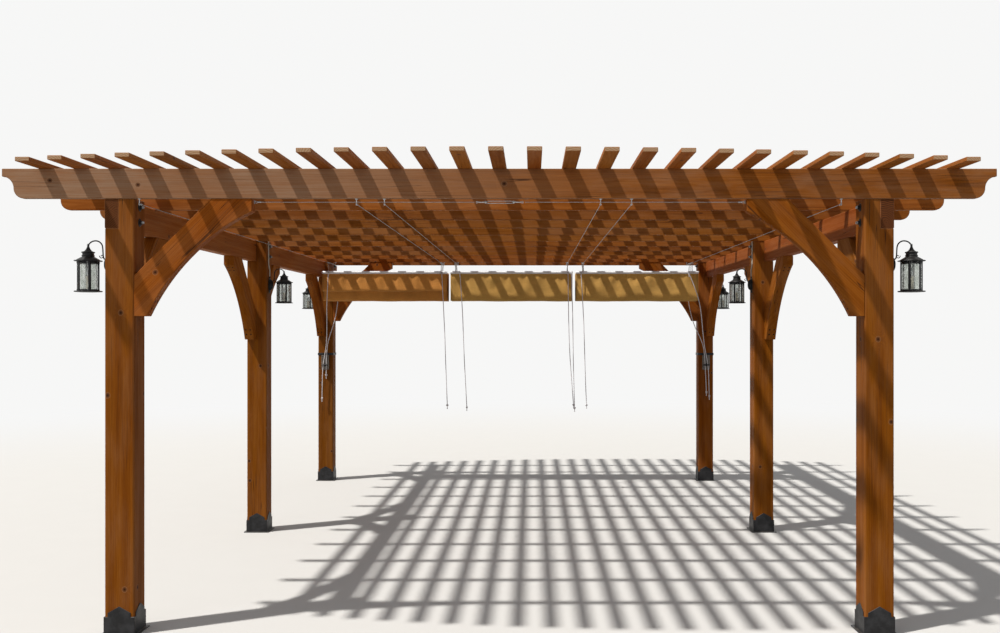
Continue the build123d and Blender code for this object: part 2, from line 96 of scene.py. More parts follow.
SIZES = FrameSizes()
ROWS = ("front", "middle", "back")
SIDES = {"left": -1, "right": 1}
KNOT_CORE: Colour = (0.03, 0.01, 0.004)
CRACK: Colour = (0.03, 0.011, 0.005)
SCREW_HEAD: Colour = (0.05, 0.04, 0.035)
# Near black for the lag screws: their dark heads, with painted shade in the holes they sit in.
LAG_HEAD_AND_HOLE_SHADE: Colour = (0.02, 0.012, 0.008)


class Value:
    """A value in a node tree. Plain sums on it add Math nodes."""

    def __init__(self, sheet: "NodeSheet", socket: Socket) -> None:
        """Hold a node's output and the sheet that it is on."""
        self.sheet = sheet
        self.socket = socket

    def __add__(self, other: object) -> "Value":
        """Return the sum."""
        return self.sheet.math("ADD", self, other)

    def __sub__(self, other: object) -> "Value":
        """Return the difference."""
        return self.sheet.math("SUBTRACT", self, other)

    def __mul__(self, other: object) -> "Value":
        """Return the product."""
        return self.sheet.math("MULTIPLY", self, other)

    def __truediv__(self, other: object) -> "Value":
        """Return the quotient."""
        return self.sheet.math("DIVIDE", self, other)

    def __pow__(self, other: object) -> "Value":
        """Return the power."""
        return self.sheet.math("POWER", self, other)

    def __abs__(self) -> "Value":
        """Return the value without its sign."""
        return self.sheet.math("ABSOLUTE", self)

    def sine(self) -> "Value":
        """Return the sine."""
        return self.sheet.math("SINE", self)

    def rounded(self) -> "Value":
        """Return the nearest whole number."""
        return self.sheet.math("ROUND", self)

    def spread(self, low: float, high: float, start: float = 0.0, end: float = 1.0) -> "Value":
        """Return the value moved smoothly from one range to another, and held inside it."""
        inputs = {0: self, 1: low, 2: high, 3: start, 4: end}
        return self.sheet.fed("ShaderNodeMapRange", inputs, interpolation_type="SMOOTHSTEP")


Amount = Union[Value, float]
Paint = Union[Value, Colour]


def distance(a: Value, b: Value) -> Value:
    """Return the length of the line whose two parts are given."""
    return (a * a + b * b) ** 0.5


class NodeSheet:
    """A node tree, with short calls for the nodes that the finishes share."""

    def __init__(self, tree: bpy.types.NodeTree) -> None:
        """Take up a tree."""
        self.tree = tree

    def node(self, kind: str, **settings: object) -> bpy.types.Node:
        """Add a node and set its options.

        Args:
            kind: The node's type.
            settings: Its options by name.

        Returns:
            The node.
        """
        made = self.tree.nodes.new(kind)
        for name, value in settings.items():
            setattr(made, name, value)
        return made

    def feed(self, socket: Socket, value: object) -> None:
        """Link a value to an input, or set the input where the value is plain.

        Args:
            socket: The input.
            value: A value of this sheet, a number or a row of numbers.
        """
        if isinstance(value, Value):
            self.tree.links.new(value.socket, socket)
        elif socket.type == "RGBA":
            socket.default_value = (*value[:3], 1)
        else:
            socket.default_value = value

    def fed(self, kind: str, inputs: dict, output: object = 0, **settings: object) -> Value:
        """Add a node, feed it and return one of its outputs.

        Args:
            kind: The node's type.
            inputs: What goes in, by the input's name or number.
            output: The output's name or number.
            settings: The node's options by name.

        Returns:
            The output.
        """
        made = self.node(kind, **settings)
        for key, value in inputs.items():
            self.feed(made.inputs[key], value)
        return Value(self, made.outputs[output])

    def coords(self, output: str = "Object") -> Value:
        """Return one of the piece's own coordinates."""
        return self.fed("ShaderNodeTexCoord", {}, output)

    def mapped(self, vector: Value, scale: Point = (1, 1, 1), location: Point = (0, 0, 0)) -> Value:
        """Return a vector scaled and shifted by a Mapping node."""
        return self.fed("ShaderNodeMapping", {"Vector": vector, "Scale": scale, "Location": location})

    def parts(self, kind: str, value: Value) -> list[Value]:
        """Return the three parts of a vector or a colour.

        Args:
            kind: The type of the node that takes it apart.
            value: The vector or colour.

        Returns:
            Its parts.
        """
        made = self.node(kind)
        self.feed(made.inputs[0], value)
        return [Value(self, made.outputs[index]) for index in range(3)]

    def split(self, vector: Value) -> list[Value]:
        """Return a vector's three parts."""
        return self.parts("ShaderNodeSeparateXYZ", vector)

    def facing(self) -> list[Value]:
        """Return the three parts of the surface's normal, in the piece's own directions."""
        return self.split(self.coords("Normal"))

    def joined(self, x: Amount, y: Amount, z: Amount) -> Value:
        """Return a vector made of three values."""
        return self.fed("ShaderNodeCombineXYZ", {0: x, 1: y, 2: z})

    def math(self, kind: str, a: Amount, b: Amount = 0.0, clamp: bool = False) -> Value:
        """Return the result of one sum."""
        return self.fed("ShaderNodeMath", {0: a, 1: b}, operation=kind, use_clamp=clamp)

    def noise(self, vector: Value, scale: float, detail: float = 2.0, rough: float = 0.5) -> Value:
        """Return the strength of a noise pattern."""
        inputs = {"Vector": vector, "Scale": scale, "Detail": detail, "Roughness": rough}
        return self.fed("ShaderNodeTexNoise", inputs, "Fac")

    def stretched(self, vector: Value, scale: Point, detail: float = 2.0, rough: float = 0.5,
                  location: Point = (0, 0, 0)) -> Value:
        """Return a noise pattern scaled on its own along each axis."""
        return self.noise(self.mapped(vector, scale, location), 1.0, detail, rough)

    def cells(self, vector: Value, scale: float, space: str = "3D") -> tuple[Value, Value]:
        """Return a cell pattern.

        Args:
            vector: The place.
            scale: How many cells fit in a unit.
            space: 2D or 3D.

        Returns:
            The distance to the cell's middle, and a random value for each cell.
        """
        made = self.node("ShaderNodeTexVoronoi", voronoi_dimensions=space)
        self.feed(made.inputs["Vector"], vector)
        self.feed(made.inputs["Scale"], scale)
        tint = self.parts("ShaderNodeSeparateColor", Value(self, made.outputs["Color"]))
        return Value(self, made.outputs["Distance"]), tint[0]

    def chance(self, vector: Value) -> list[Value]:
        """Return three random values that stay the same wherever the vector does."""
        colour = self.fed("ShaderNodeTexWhiteNoise", {"Vector": vector}, "Color", noise_dimensions="3D")
        return self.parts("ShaderNodeSeparateColor", colour)

    def ramp(self, value: Value, stops: Sequence[tuple[float, Colour]]) -> Value:
        """Return a colour picked from a row of stops.

        Args:
            value: Where to pick.
            stops: Each stop's place and colour.

        Returns:
            The colour.
        """
        made = self.node("ShaderNodeValToRGB")
        row = made.color_ramp.elements
        while len(row) < len(stops):
            row.new(0.5)
        for stop, (place, colour) in zip(row, stops):
            stop.position = place
            stop.color = (*colour, 1)
        self.feed(made.inputs[0], value)
        return Value(self, made.outputs["Color"])

    def blend(self, share: Amount, a: Paint, b: Paint) -> Value:
        """Return two colours blended by a share."""
        return self.fed("ShaderNodeMix", {0: share, 6: a, 7: b}, 2, data_type="RGBA", blend_type="MIX")

    def tinted(self, colour: Value, hue: Amount, rich: Amount, bright: Amount) -> Value:
        """Return a colour with its hue, richness and brightness changed."""
        inputs = {"Color": colour, "Hue": hue, "Saturation": rich, "Value": bright}
        return self.fed("ShaderNodeHueSaturation", inputs)


class MaterialSheet(NodeSheet):
    """One material's node tree, with its shader."""

    def __init__(self, name: str) -> None:
        """Start a material with its plain shader.

        Args:
            name: The material's name.
        """
        self.material = bpy.data.materials.new(name)
        self.material.use_nodes = True
        super().__init__(self.material.node_tree)
        self.shader = self.tree.nodes["Principled BSDF"]

    def place(self) -> Value:
        """Return the place on the piece, through a Mapping node."""
        return self.mapped(self.coords())

    def bump(self, height: Value, depth: float, strength: float) -> None:
        """Give the shader small relief from a height."""
        relief = self.fed("ShaderNodeBump", {"Strength": strength, "Distance": depth, "Height": height})
        self.feed(self.shader.inputs["Normal"], relief)

    def dress(self, colour: Value, rough: Value, constants: Optional[dict[str, float]] = None) -> Material:
        """Join colour and roughness to the shader and set its constants.

        Args:
            colour: The base colour.
            rough: The roughness.
            constants: The shader's other inputs by name.

        Returns:
            The material.
        """
        self.feed(self.shader.inputs["Base Color"], colour)
        self.feed(self.shader.inputs["Roughness"], rough)
        for name, value in (constants or {}).items():
            self.shader.inputs[name].default_value = value
        return self.material


class Grain(Enum):
    """The way that a timber's fibres run."""

    ALONG_X = "along x"
    ALONG_Y = "along y"
    ALONG_Z = "along z"
    CROSS_BRACE = "up towards the middle of the front"
    SIDE_BRACE = "up away from the nearest post"


@dataclass(frozen=True)
class TimberFinish:
    """Oiled cedar: growth rings, fibres, knots, checks and end grain, board by board."""

    name: str
    grain: Grain
    centre: Point
    dark: Colour
    middle: Colour
    light: Colour
    pitch: tuple[float, float] = (0.0, 0.0)
    mirrored: bool = False
    end: Colour = (0.34, 0.2, 0.1)
    knots: float = 0.72
    weather: float = 0.12
    pale: Colour = (0.34, 0.17, 0.08)
    fade: Optional[tuple[float, float]] = None
    edges: bool = True
    screws: bool = False
    lags: Optional[float] = None
    ring_width: float = 0.0115
    lag_spacing: float = 0.405

    def boards(self, sheet: MaterialSheet) -> tuple[list[Value], list[Value]]:
        """Tell the boards of one mesh apart.

        Args:
            sheet: The material's nodes.

        Returns:
            The place inside a board, and three random values for it.
        """
        inside = sheet.split(sheet.place())
        marks: list[Amount] = [0.0, 0.0]
        if self.mirrored:
            marks[0] = sheet.math("SIGN", inside[0])
            inside[0] = abs(inside[0])
        inside = [part - middle for part, middle in zip(inside, self.centre)]
        for axis, pitch in enumerate(self.pitch):
            if pitch:
                count = (inside[axis] / pitch).rounded()
                marks[axis] = count + marks[axis]
                inside[axis] = inside[axis] - count * pitch
        seed = float(sum(ord(letter) for letter in self.name) % 97)
        return inside, sheet.chance(sheet.joined(marks[0], marks[1], seed))

    def axes(self, inside: list[Value]) -> tuple[Value, Value, Value]:
        """Tell the board's own directions.

        Args:
            inside: The place inside the board.

        Returns:
            The place along the fibres, across them and through the board.
        """
        x, y, z = inside
        straight = {Grain.ALONG_X: (x, z, y), Grain.ALONG_Y: (y, x, z), Grain.ALONG_Z: (z, x, y)}
        if self.grain in straight:
            return straight[self.grain]
        run, deep = (x * -1.0, y) if self.grain is Grain.CROSS_BRACE else (abs(y), x)
        slope = math.sqrt(0.5)
        return (z + run) * slope, (z - run) * slope, deep

    def end_mask(self, sheet: MaterialSheet) -> Amount:
        """Return 1 on the cut ends and 0 on the long faces. A brace shows no end.

        Args:
            sheet: The material's nodes.

        Returns:
            The ends' mask.
        """
        index = {Grain.ALONG_X: 0, Grain.ALONG_Y: 1, Grain.ALONG_Z: 2}.get(self.grain)
        if index is None:
            return 0.0
        return abs(sheet.facing()[index]).spread(0.3 if self.grain is Grain.ALONG_X else 0.8, 0.9)

    def edge_mask(self, sheet: MaterialSheet) -> Value:
        """Return 1 on eased edges, which lie between the main faces.

        Args:
            sheet: The material's nodes.

        Returns:
            The edges' mask.
        """
        x, y, z = (abs(part) for part in sheet.facing())
        facing = sheet.math("MAXIMUM", sheet.math("MAXIMUM", x, y), z)
        return facing.spread(0.97, 0.8)

    def screw_mask(self, sheet: MaterialSheet, inside: list[Value]) -> Value:
        """Return 1 on the two screw heads where a slat crosses each beam.

        Args:
            sheet: The material's nodes.
            inside: The place inside the slat.

        Returns:
            The screws' mask.
        """
        y = sheet.split(sheet.coords())[1] - SIZES.first_beam
        y = y - (y / SIZES.beam_pitch).rounded() * SIZES.beam_pitch
        x = abs(inside[0]) - 0.024
        return distance(x, y).spread(0.0056, 0.0042) * sheet.facing()[2].spread(0.8, 0.95)

    def lag_mask(self, sheet: MaterialSheet, along: Value, deep: Value) -> Value:
        """Return 1 on the lag screws of a brace, two by two in its curved face near each end.

        Args:
            sheet: The material's nodes.
            along: The place along the brace.
            deep: The place through its thickness.

        Returns:
            The screws' mask.
        """
        run = abs(abs(along + self.lags) - self.lag_spacing) - 0.024
        wide = abs(deep) - 0.021
        down = sheet.facing()[2]
        curved = down.spread(-0.3, -0.4) * down.spread(-0.97, -0.93)
        return distance(run, wide).spread(0.0082, 0.0062) * curved

    def rings(self, sheet: MaterialSheet, line: Value, spot: tuple[Value, Value], luck: list[Value],
              near: Value) -> Value:
        """Return the growth rings, which wave along the board and bend round its knots.

        Args:
            sheet: The material's nodes.
            line: The place along, across and through the board.
            spot: The place across and through it.
            luck: Three random values for the board.
            near: How near a knot is.

        Returns:
            The rings' strength.
        """
        side = spot[0] + (luck[1] - 0.5) * 0.2
        back = spot[1] + (luck[2] * 0.09 + 0.05)
        ring = distance(side, back) + sheet.stretched(line, (0.9, 5.0, 5.0)) * 0.085
        ring = ring + sheet.stretched(line, (2.6, 16.0, 16.0)) * 0.012 + near * 0.035
        return ((ring * (2 * math.pi / self.ring_width)).sine() * 0.5 + 0.5) ** 1.6

    def material(self) -> Material:
        """Build the finish and return its material."""
        sheet = MaterialSheet(self.name)
        inside, luck = self.boards(sheet)
        along, across, deep = self.axes(inside)
        lags = None if self.lags is None else self.lag_mask(sheet, along, deep)
        along = along + luck[0] * 9.0
        line = sheet.joined(along, across, deep)
        face = sheet.joined(along, across + deep, 0.0)
        knot, knot_luck = sheet.cells(sheet.mapped(face, (1.5, 1.7, 1.0), (0.0, 3.1, 0.0)), 2.2, "2D")
        picked = sheet.math("GREATER_THAN", knot_luck, self.knots)
        rings = self.rings(sheet, line, (across, deep), luck, knot.spread(0.22, 0.02) * picked)
        streak = sheet.stretched(line, (0.8, 24.0, 24.0), 4.0, 0.6)
        fibre = sheet.stretched(line, (9.0, 330.0, 330.0), 3.0, 0.6)
        blotch = sheet.stretched(line, (1.1, 2.6, 2.6), 3.0)
        tone = (rings * 0.09 + streak * 0.74 + fibre * 0.3).spread(0.14, 1.06)
        colour = sheet.ramp(tone, ((0.0, self.light), (0.5, self.middle), (1.0, self.dark)))
        bright = luck[1] * 0.42 + 0.62 + blotch * 0.36
        colour = sheet.tinted(colour, luck[2] * 0.009 + 0.4925, 1.05, bright)
        colour = self.faded(sheet, colour, line, blotch)
        for outer, inner, share, tint in (
                (0.074, 0.06, 0.5, self.pale), (0.058, 0.05, 0.75, self.dark),
                (0.032, 0.02, 0.9, KNOT_CORE)):
            colour = sheet.blend(knot.spread(outer, inner) * picked * share, colour, tint)
        seam = abs(sheet.stretched(line, (0.45, 20.0, 20.0), 1.0) - 0.5)
        patch = sheet.stretched(line, (1.6, 7.0, 7.0), 0.0, location=(5.0, 1.0, 2.0))
        crack = seam.spread(0.008, 0.002) * patch.spread(0.55, 0.62)
        colour = sheet.blend(crack * 0.75, colour, CRACK)
        end = self.end_mask(sheet)
        colour = sheet.blend(end * 0.9, colour, sheet.blend(rings * 0.6, self.end, self.middle))
        if self.edges:
            colour = sheet.blend(self.edge_mask(sheet) * 0.5, colour, self.pale)
        height = rings * 0.16 + fibre * 0.6 - crack * 1.6
        rough = (streak + end * 0.3).spread(0.3, 0.9, 0.6, 0.88)
        if self.screws:
            heads = self.screw_mask(sheet, inside)
            colour = sheet.blend(heads, colour, SCREW_HEAD)
            rough = rough - heads * 0.2
            height = height - heads
        if lags is not None:
            # Lag screws: dark heads plus painted shade in their holes.
            colour = sheet.blend(lags, colour, LAG_HEAD_AND_HOLE_SHADE)
            height = height - lags * 3.0
        sheet.bump(height, 0.0011, 0.7)
        return sheet.dress(colour, rough, {"Specular IOR Level": 0.1})

    def faded(self, sheet: MaterialSheet, colour: Value, line: Value, blotch: Value) -> Value:
        """Return the colour with the places where sun and rain have taken the oil off.

        Args:
            sheet: The material's nodes.
            colour: The fresh timber's colour.
            line: The place along, across and through the board.
            blotch: A slow pattern that the worn patches follow.

        Returns:
            The weathered colour.
        """
        worn = sheet.stretched(line, (2.2, 9.0, 9.0), 4.0, 0.65, (1.0, 4.0, 2.0))
        worn = (worn + blotch * 0.5).spread(0.6, 1.0)
        amount = worn * (self.weather * 2)
        if self.fade:
            start, end = self.fade
            x = sheet.split(sheet.coords())[0] + (worn - 0.5) * 1.1
            amount = sheet.math("ADD", amount, x.spread(end, start) * 0.66, clamp=True)
        streaks = sheet.stretched(line, (3.0, 120.0, 120.0), 3.0)
        pale = sheet.blend(streaks.spread(0.35, 0.65), self.pale, self.middle)
        return sheet.blend(amount, colour, sheet.blend(0.35, self.pale, pale))


@dataclass(frozen=True)
class IronFinish:
    """Powder coated steel: a fine pebbled skin, dust on top and paler mottled patches."""

    name: str
    base: Colour = (0.016, 0.016, 0.017)
    dust: Colour = (0.13, 0.115, 0.095)
    pebble: float = 520.0
    rough: float = 0.42

    def material(self) -> Material:
        """Build the finish and return its material."""
        sheet = MaterialSheet(self.name)
        place = sheet.place()
        mottle = sheet.noise(place, 14.0, 4.0, 0.6)
        settled = sheet.facing()[2].spread(0.5, 1.0) * mottle.spread(0.4, 0.7, 0.1, 0.7)
        bare = tuple(part * 2.4 for part in self.base)
        colour = sheet.blend(mottle.spread(0.35, 0.7), self.base, bare)
        colour = sheet.blend(settled, colour, self.dust)
        sheet.bump(sheet.noise(place, self.pebble), 0.0004, 0.6)
        rough = mottle.spread(0.25, 0.75, self.rough - 0.1, self.rough + 0.16)
        return sheet.dress(colour, rough, {"Specular IOR Level": 0.2})


@dataclass(frozen=True)
class SteelFinish:
    """Bright or galvanised steel with faint crystals and drawn lines."""

    name: str
    base: Colour = (0.52, 0.53, 0.54)
    grime: Colour = (0.2, 0.17, 0.14)
    rough: float = 0.34
    crystal: float = 90.0
    metal: float = 1.0

    def material(self) -> Material:
        """Build the finish and return its material."""
        sheet = MaterialSheet(self.name)
        place = sheet.place()
        far, tint = sheet.cells(place, self.crystal)
        grime = sheet.noise(place, 23.0, 4.0, 0.6)
        drawn = sheet.noise(sheet.mapped(place, (1.0, 0.05, 1.0)), 900.0, 1.0)
        dull = tuple(part * 0.62 for part in self.base)
        colour = sheet.blend(tint, self.base, dull)
        colour = sheet.blend(grime.spread(0.5, 0.8, 0.0, 0.6), colour, self.grime)
        sheet.bump(drawn + far, 0.0003, 0.5)
        rough = grime.spread(0.3, 0.7, self.rough, self.rough + 0.22)
        return sheet.dress(colour, rough, {"Metallic": self.metal})


@dataclass(frozen=True)
class EnamelFinish:
    """A painted or moulded skin with grime, fine scratches and a soft gloss."""

    name: str
    base: Colour
    grime: Colour
    rough: float

    def material(self) -> Material:
        """Build the finish and return its material."""
        sheet = MaterialSheet(self.name)
        place = sheet.place()
        patch = sheet.noise(place, 7.0, 5.0, 0.65)
        scratch = sheet.stretched(place, (2.0, 160.0, 160.0), 3.0)
        dusty = sheet.facing()[2].spread(0.2, 1.0, 0.3, 1.0) * patch.spread(0.42, 0.75, 0.0, 0.6)
        colour = sheet.blend(dusty, self.base, self.grime)
        colour = sheet.blend(scratch.spread(0.62, 0.75, 0.0, 0.25), colour, self.grime)
        sheet.bump(scratch + patch * 0.6, 0.0003, 0.4)
        return sheet.dress(colour, patch.spread(0.3, 0.75, self.rough - 0.08, self.rough + 0.2))


@dataclass(frozen=True)
class CanvasFinish:
    """Woven acrylic canvas, read from the cloth's own map in metres."""

    name: str
    width: float
    warp: Colour = (0.72, 0.42, 0.115)
    weft: Colour = (0.58, 0.325, 0.078)
    stain: Colour = (0.36, 0.22, 0.09)
    stitches: Colour = (0.62, 0.45, 0.24)
    thread: float = 0.0022
    stitch: float = 0.006
    hem: float = 0.021

    def material(self) -> Material:
        """Build the finish and return its material."""
        sheet = MaterialSheet(self.name)
        place = sheet.mapped(sheet.coords("UV"))
        u, v, _ = sheet.split(place)
        turn = 2 * math.pi / self.thread
        weave = (u * turn).sine() * (v * turn).sine()
        slub = sheet.stretched(place, (9.0, 420.0, 1.0), 3.0)
        slub_up = sheet.stretched(place, (420.0, 9.0, 1.0), 3.0)
        fade = sheet.stretched(place, (2.1, 3.4, 1.0), 4.0, 0.6)
        mixed = weave * 0.16 + slub * 0.5 + slub_up * 0.5
        colour = sheet.blend(mixed.spread(0.25, 0.75), self.warp, self.weft)
        colour = sheet.tinted(colour, 0.5, 1.0, fade.spread(0.25, 0.75, 0.82, 1.16))
        colour = sheet.blend(fade.spread(0.62, 0.78, 0.0, 0.4), colour, self.stain)
        side = sheet.math("MINIMUM", u, sheet.math("SUBTRACT", self.width, u))
        stitch = (v * (2 * math.pi / self.stitch)).sine()
        seam = abs(side - self.hem).spread(0.0022, 0.0008) * stitch.spread(-0.3, 0.3)
        colour = sheet.blend(seam * 0.7, colour, self.stitches)
        band = side.spread(self.hem + 0.0015, self.hem - 0.0015)
        colour = sheet.tinted(colour, 0.5, 1.0, sheet.math("SUBTRACT", 1.0, band * 0.12))
        sheet.bump(weave * 0.4 + (slub + slub_up) + band * 1.2, 0.0005, 0.7)
        constants = {"Specular IOR Level": 0.2, "Sheen Weight": 0.08, "Sheen Roughness": 0.6}
        return sheet.dress(colour, fade.spread(0.3, 0.7, 0.78, 0.92), constants)


@dataclass(frozen=True)
class CordFinish:
    """White braided cord: crossing strands with painted shade in the gaps between them, and patches of
    grime.
    """

    name: str
    strand: Colour = (0.92, 0.9, 0.93)
    painted_gap_shade: Colour = (0.6, 0.57, 0.61)
    grime: Colour = (0.5, 0.46, 0.42)
    pitch: float = 0.009

    def material(self) -> Material:
        """Build the finish and return its material."""
        sheet = MaterialSheet(self.name)
        x, y, z = sheet.split(sheet.place())
        turn = 2 * math.pi / self.pitch
        wide = x * 1.6 + y * 1.1
        braid = sheet.math("MAXIMUM", ((z + wide) * turn).sine(), ((z - wide) * turn).sine())
        grime = sheet.noise(sheet.joined(x, y, z * 0.3), 21.0, 3.0)
        # Painted shade in the gaps between the strands.
        colour = sheet.blend(braid.spread(-0.2, 0.7), self.painted_gap_shade, self.strand)
        colour = sheet.blend(grime.spread(0.5, 0.75, 0.0, 0.45), colour, self.grime)
        fuzz = sheet.noise(sheet.joined(x, y, z), 1400.0, 1.0)
        sheet.bump(braid + fuzz * 0.4, 0.0006, 0.8)
        return sheet.dress(colour, grime.spread(0.3, 0.7, 0.68, 0.86), {"Sheen Weight": 0.2})


@dataclass(frozen=True)
class GlassFinish:
    """Old seeded glass with slow waves and small bubbles."""

    name: str
    tint: Colour = (0.82, 0.84, 0.81)
    shade: Colour = (0.6, 0.63, 0.59)

    def material(self) -> Material:
        """Build the finish and return its material."""
        sheet = MaterialSheet(self.name)
        place = sheet.place()
        waves = sheet.noise(sheet.mapped(place, (1.0, 1.0, 0.45)), 70.0)
        seeds, _ = sheet.cells(place, 120.0)
        colour = sheet.blend(waves.spread(0.4, 0.7), self.tint, self.shade)
        sheet.bump(waves + seeds.spread(0.3, 0.1) * 0.3, 0.0016, 0.9)
        constants = {"Transmission Weight": 0.92, "IOR": 1.45}
        return sheet.dress(colour, waves.spread(0.3, 0.7, 0.03, 0.12), constants)


@dataclass(frozen=True)
class WaxFinish:
    """Ivory wax with a warm core and soft runs."""

    name: str
    base: Colour = (0.80, 0.72, 0.55)
    core: Colour = (0.66, 0.54, 0.36)

    def material(self) -> Material:
        """Build the finish and return its material."""
        sheet = MaterialSheet(self.name)
        runs = sheet.stretched(sheet.place(), (90.0, 90.0, 14.0), 3.0)
        colour = sheet.blend(runs.spread(0.35, 0.7), self.base, self.core)
        sheet.bump(runs, 0.001, 0.6)
        return sheet.dress(colour, runs.spread(0.3, 0.7, 0.42, 0.6))


def at(place: Point, degrees: float = 0.0, axis: str = "Z") -> Matrix:
    """Return the matrix that turns a piece about an axis and then sets it at a place."""
    return Matrix.Translation(place) @ Matrix.Rotation(math.radians(degrees), 4, axis)


class Bench:
    """Hand tools shared by the pieces: picking, shaping, placing and joining."""

    @staticmethod
    def clear() -> None:
        """Leave edit mode and deselect everything."""
        if bpy.context.object is not None and bpy.context.object.mode != "OBJECT":
            bpy.ops.object.mode_set(mode="OBJECT")
        bpy.ops.object.select_all(action="DESELECT")

    @staticmethod
    def only(thing: Thing) -> Thing:
        """Select one object alone and make it active.

        Args:
            thing: The object.

        Returns:
            The same object.
        """
        Bench.clear()
        thing.select_set(True)
        bpy.context.view_layer.objects.active = thing
        return thing

    @staticmethod
    def made(name: str) -> Thing:
        """Name the primitive that was just added, and put its place and size in its mesh.

        Args:
            name: Its name.

        Returns:
            The primitive.
        """
        thing = bpy.context.object
        thing.name = name
        bpy.ops.object.transform_apply(location=True, rotation=True, scale=True)
        return thing

    @staticmethod
    def pick(thing: Thing, way: Point, both: bool = False) -> None:
        """Enter edit mode and select the faces that look one way.

        Args:
            thing: The object.
            way: The direction.
            both: Whether the faces that look the opposite way are picked too.
        """
        Bench.only(thing)
        bpy.ops.object.mode_set(mode="EDIT")
        mesh = bmesh.from_edit_mesh(thing.data)
        bpy.ops.mesh.select_mode(type="FACE")
        for face in mesh.faces:
            share = face.normal.dot(Vector(way))
            face.select_set((abs(share) if both else share) > 0.9)
        bmesh.update_edit_mesh(thing.data)

    @staticmethod
    def press(thing: Thing, way: Point, border: float, push: float) -> Thing:
        """Inset the faces that look one way, then push them out.

        Args:
            thing: The object.
            way: The direction.
            border: The width of the border that is left round them.
            push: How far they move, less than zero for inwards.

        Returns:
            The same object.
        """
        Bench.pick(thing, way)
        bpy.ops.mesh.inset(thickness=border)
        step = tuple(part * push for part in way)
        bpy.ops.mesh.extrude_region_move(TRANSFORM_OT_translate={"value": step})
        bpy.ops.object.mode_set(mode="OBJECT")
        return thing

    @staticmethod
    def walled(thing: Thing, thickness: float, offset: float) -> Thing:
        """Take off a solid's top and bottom, and give the wall that is left its thickness.

        Args:
            thing: The solid.
            thickness: The wall's thickness.
            offset: Where the wall lies, from -1 inside to 1 outside.

        Returns:
            The same object.
        """
        Bench.pick(thing, (0, 0, 1), True)
        bpy.ops.mesh.delete(type="FACE")
        bpy.ops.object.mode_set(mode="OBJECT")
        return Bench.thickened(thing, thickness, offset)

    @staticmethod
    def thickened(thing: Thing, thickness: float, offset: float) -> Thing:
        """Give a shell its thickness.

        Args:
            thing: The shell.
            thickness: Its thickness.
            offset: Where it lies, from -1 inside to 1 outside.

        Returns:
            The same object.
        """
        Bench.only(thing)
        shell = thing.modifiers.new("shell", "SOLIDIFY")
        shell.thickness = thickness
        shell.offset = offset
        bpy.ops.object.modifier_apply(modifier=shell.name)
        return thing

    @staticmethod
    def turned(name: str, profile: Profile, sides: int) -> Thing:
        """Build an upright form from a flat polygon, extruded and scaled ring by ring.

        Args:
            name: The piece's name.
            profile: Radius and height of each ring, from the bottom up.
            sides: How many sides each ring has.

        Returns:
            The finished solid, standing on the Z axis.
        """
        Bench.clear()
        radius, height = profile[0]
        bpy.ops.mesh.primitive_circle_add(
            vertices=sides, radius=radius, fill_type="NGON", location=(0, 0, height))
        thing = Bench.made(name)
        bpy.ops.object.mode_set(mode="EDIT")
        bpy.ops.mesh.select_all(action="SELECT")
        for wide, top in profile[1:]:
            bpy.ops.mesh.extrude_region_move(TRANSFORM_OT_translate={"value": (0, 0, top - height)})
            share = wide / radius
            bpy.ops.transform.resize(value=(share, share, 1), center_override=(0, 0, top))
            radius, height = wide, top
        bpy.ops.mesh.select_all(action="SELECT")
        bpy.ops.mesh.normals_make_consistent(inside=False)
        bpy.ops.object.mode_set(mode="OBJECT")
        return thing

    @staticmethod
    def bar(name: str, size: Point, centre: Point) -> Thing:
        """Add a block, with its place in its mesh.

        Args:
            name: The piece's name.
            size: The block's three sides.
            centre: Its middle.

        Returns:
            The block.
        """
        Bench.clear()
        bpy.ops.mesh.primitive_cube_add(size=1, location=centre)
        bpy.context.object.scale = size
        return Bench.made(name)

    @staticmethod
    def ring(name: str, major: float, minor: float, sides: int = 20) -> Thing:
        """Add a ring lying flat round the Z axis.

        Args:
            name: The piece's name.
            major: The ring's radius.
            minor: Half its thickness.
            sides: How many steps go round it.

        Returns:
            The ring.
        """
        Bench.clear()
        bpy.ops.mesh.primitive_torus_add(
            major_radius=major, minor_radius=minor, major_segments=sides, minor_segments=8)
        thing = Bench.made(name)
        bpy.ops.object.shade_smooth()
        return thing

    @staticmethod
    def soften(thing: Thing, width: float, steps: int = 1, angle: float = 30.0) -> Thing:
        """Round the sharp edges and apply it.

        Args:
            thing: The object.
            width: The width that an edge loses.
            steps: How many faces round it.
            angle: The angle in degrees from which an edge is sharp.

        Returns:
            The same object.
        """
        Bench.only(thing)
        bevel = thing.modifiers.new("edges", "BEVEL")
        bevel.width = width
        bevel.segments = steps
        bevel.limit_method = "ANGLE"
        bevel.angle_limit = math.radians(angle)
        bpy.ops.object.modifier_apply(modifier=bevel.name)
        return Bench.smooth(thing, angle + 5)

    @staticmethod
    def smooth(thing: Thing, angle: Optional[float] = None) -> Thing:
        """Smooth the shading.

        Args:
            thing: The object.
            angle: The angle in degrees from which an edge stays sharp, or None for no such edge.

        Returns:
            The same object.
        """
        Bench.only(thing)
        if angle is None:
            bpy.ops.object.shade_smooth()
        else:
            bpy.ops.object.shade_smooth_by_angle(angle=math.radians(angle))
        return thing

    @staticmethod
    def moved(thing: Thing, matrix: Matrix) -> Thing:
        """Put an object's place, turn and scale in its mesh.

        Args:
            thing: The object.
            matrix: How it moves.

        Returns:
            The same object.
        """
        thing.data.transform(matrix @ thing.matrix_basis)
        thing.matrix_basis = Matrix.Identity(4)
        if matrix.determinant() < 0:
            thing.data.flip_normals()
        thing.data.update()
        return thing

    @staticmethod
    def copied(thing: Thing, name: str, matrix: Matrix) -> Thing:
        """Return a copy with its own mesh, put in its place.

        Args:
            thing: The object.
            name: The copy's name.
            matrix: Where the copy goes.

        Returns:
            The copy.
        """
        twin = thing.copy()
        twin.data = thing.data.copy()
        twin.name = name
        bpy.context.scene.collection.objects.link(twin)
        return Bench.moved(twin, matrix)

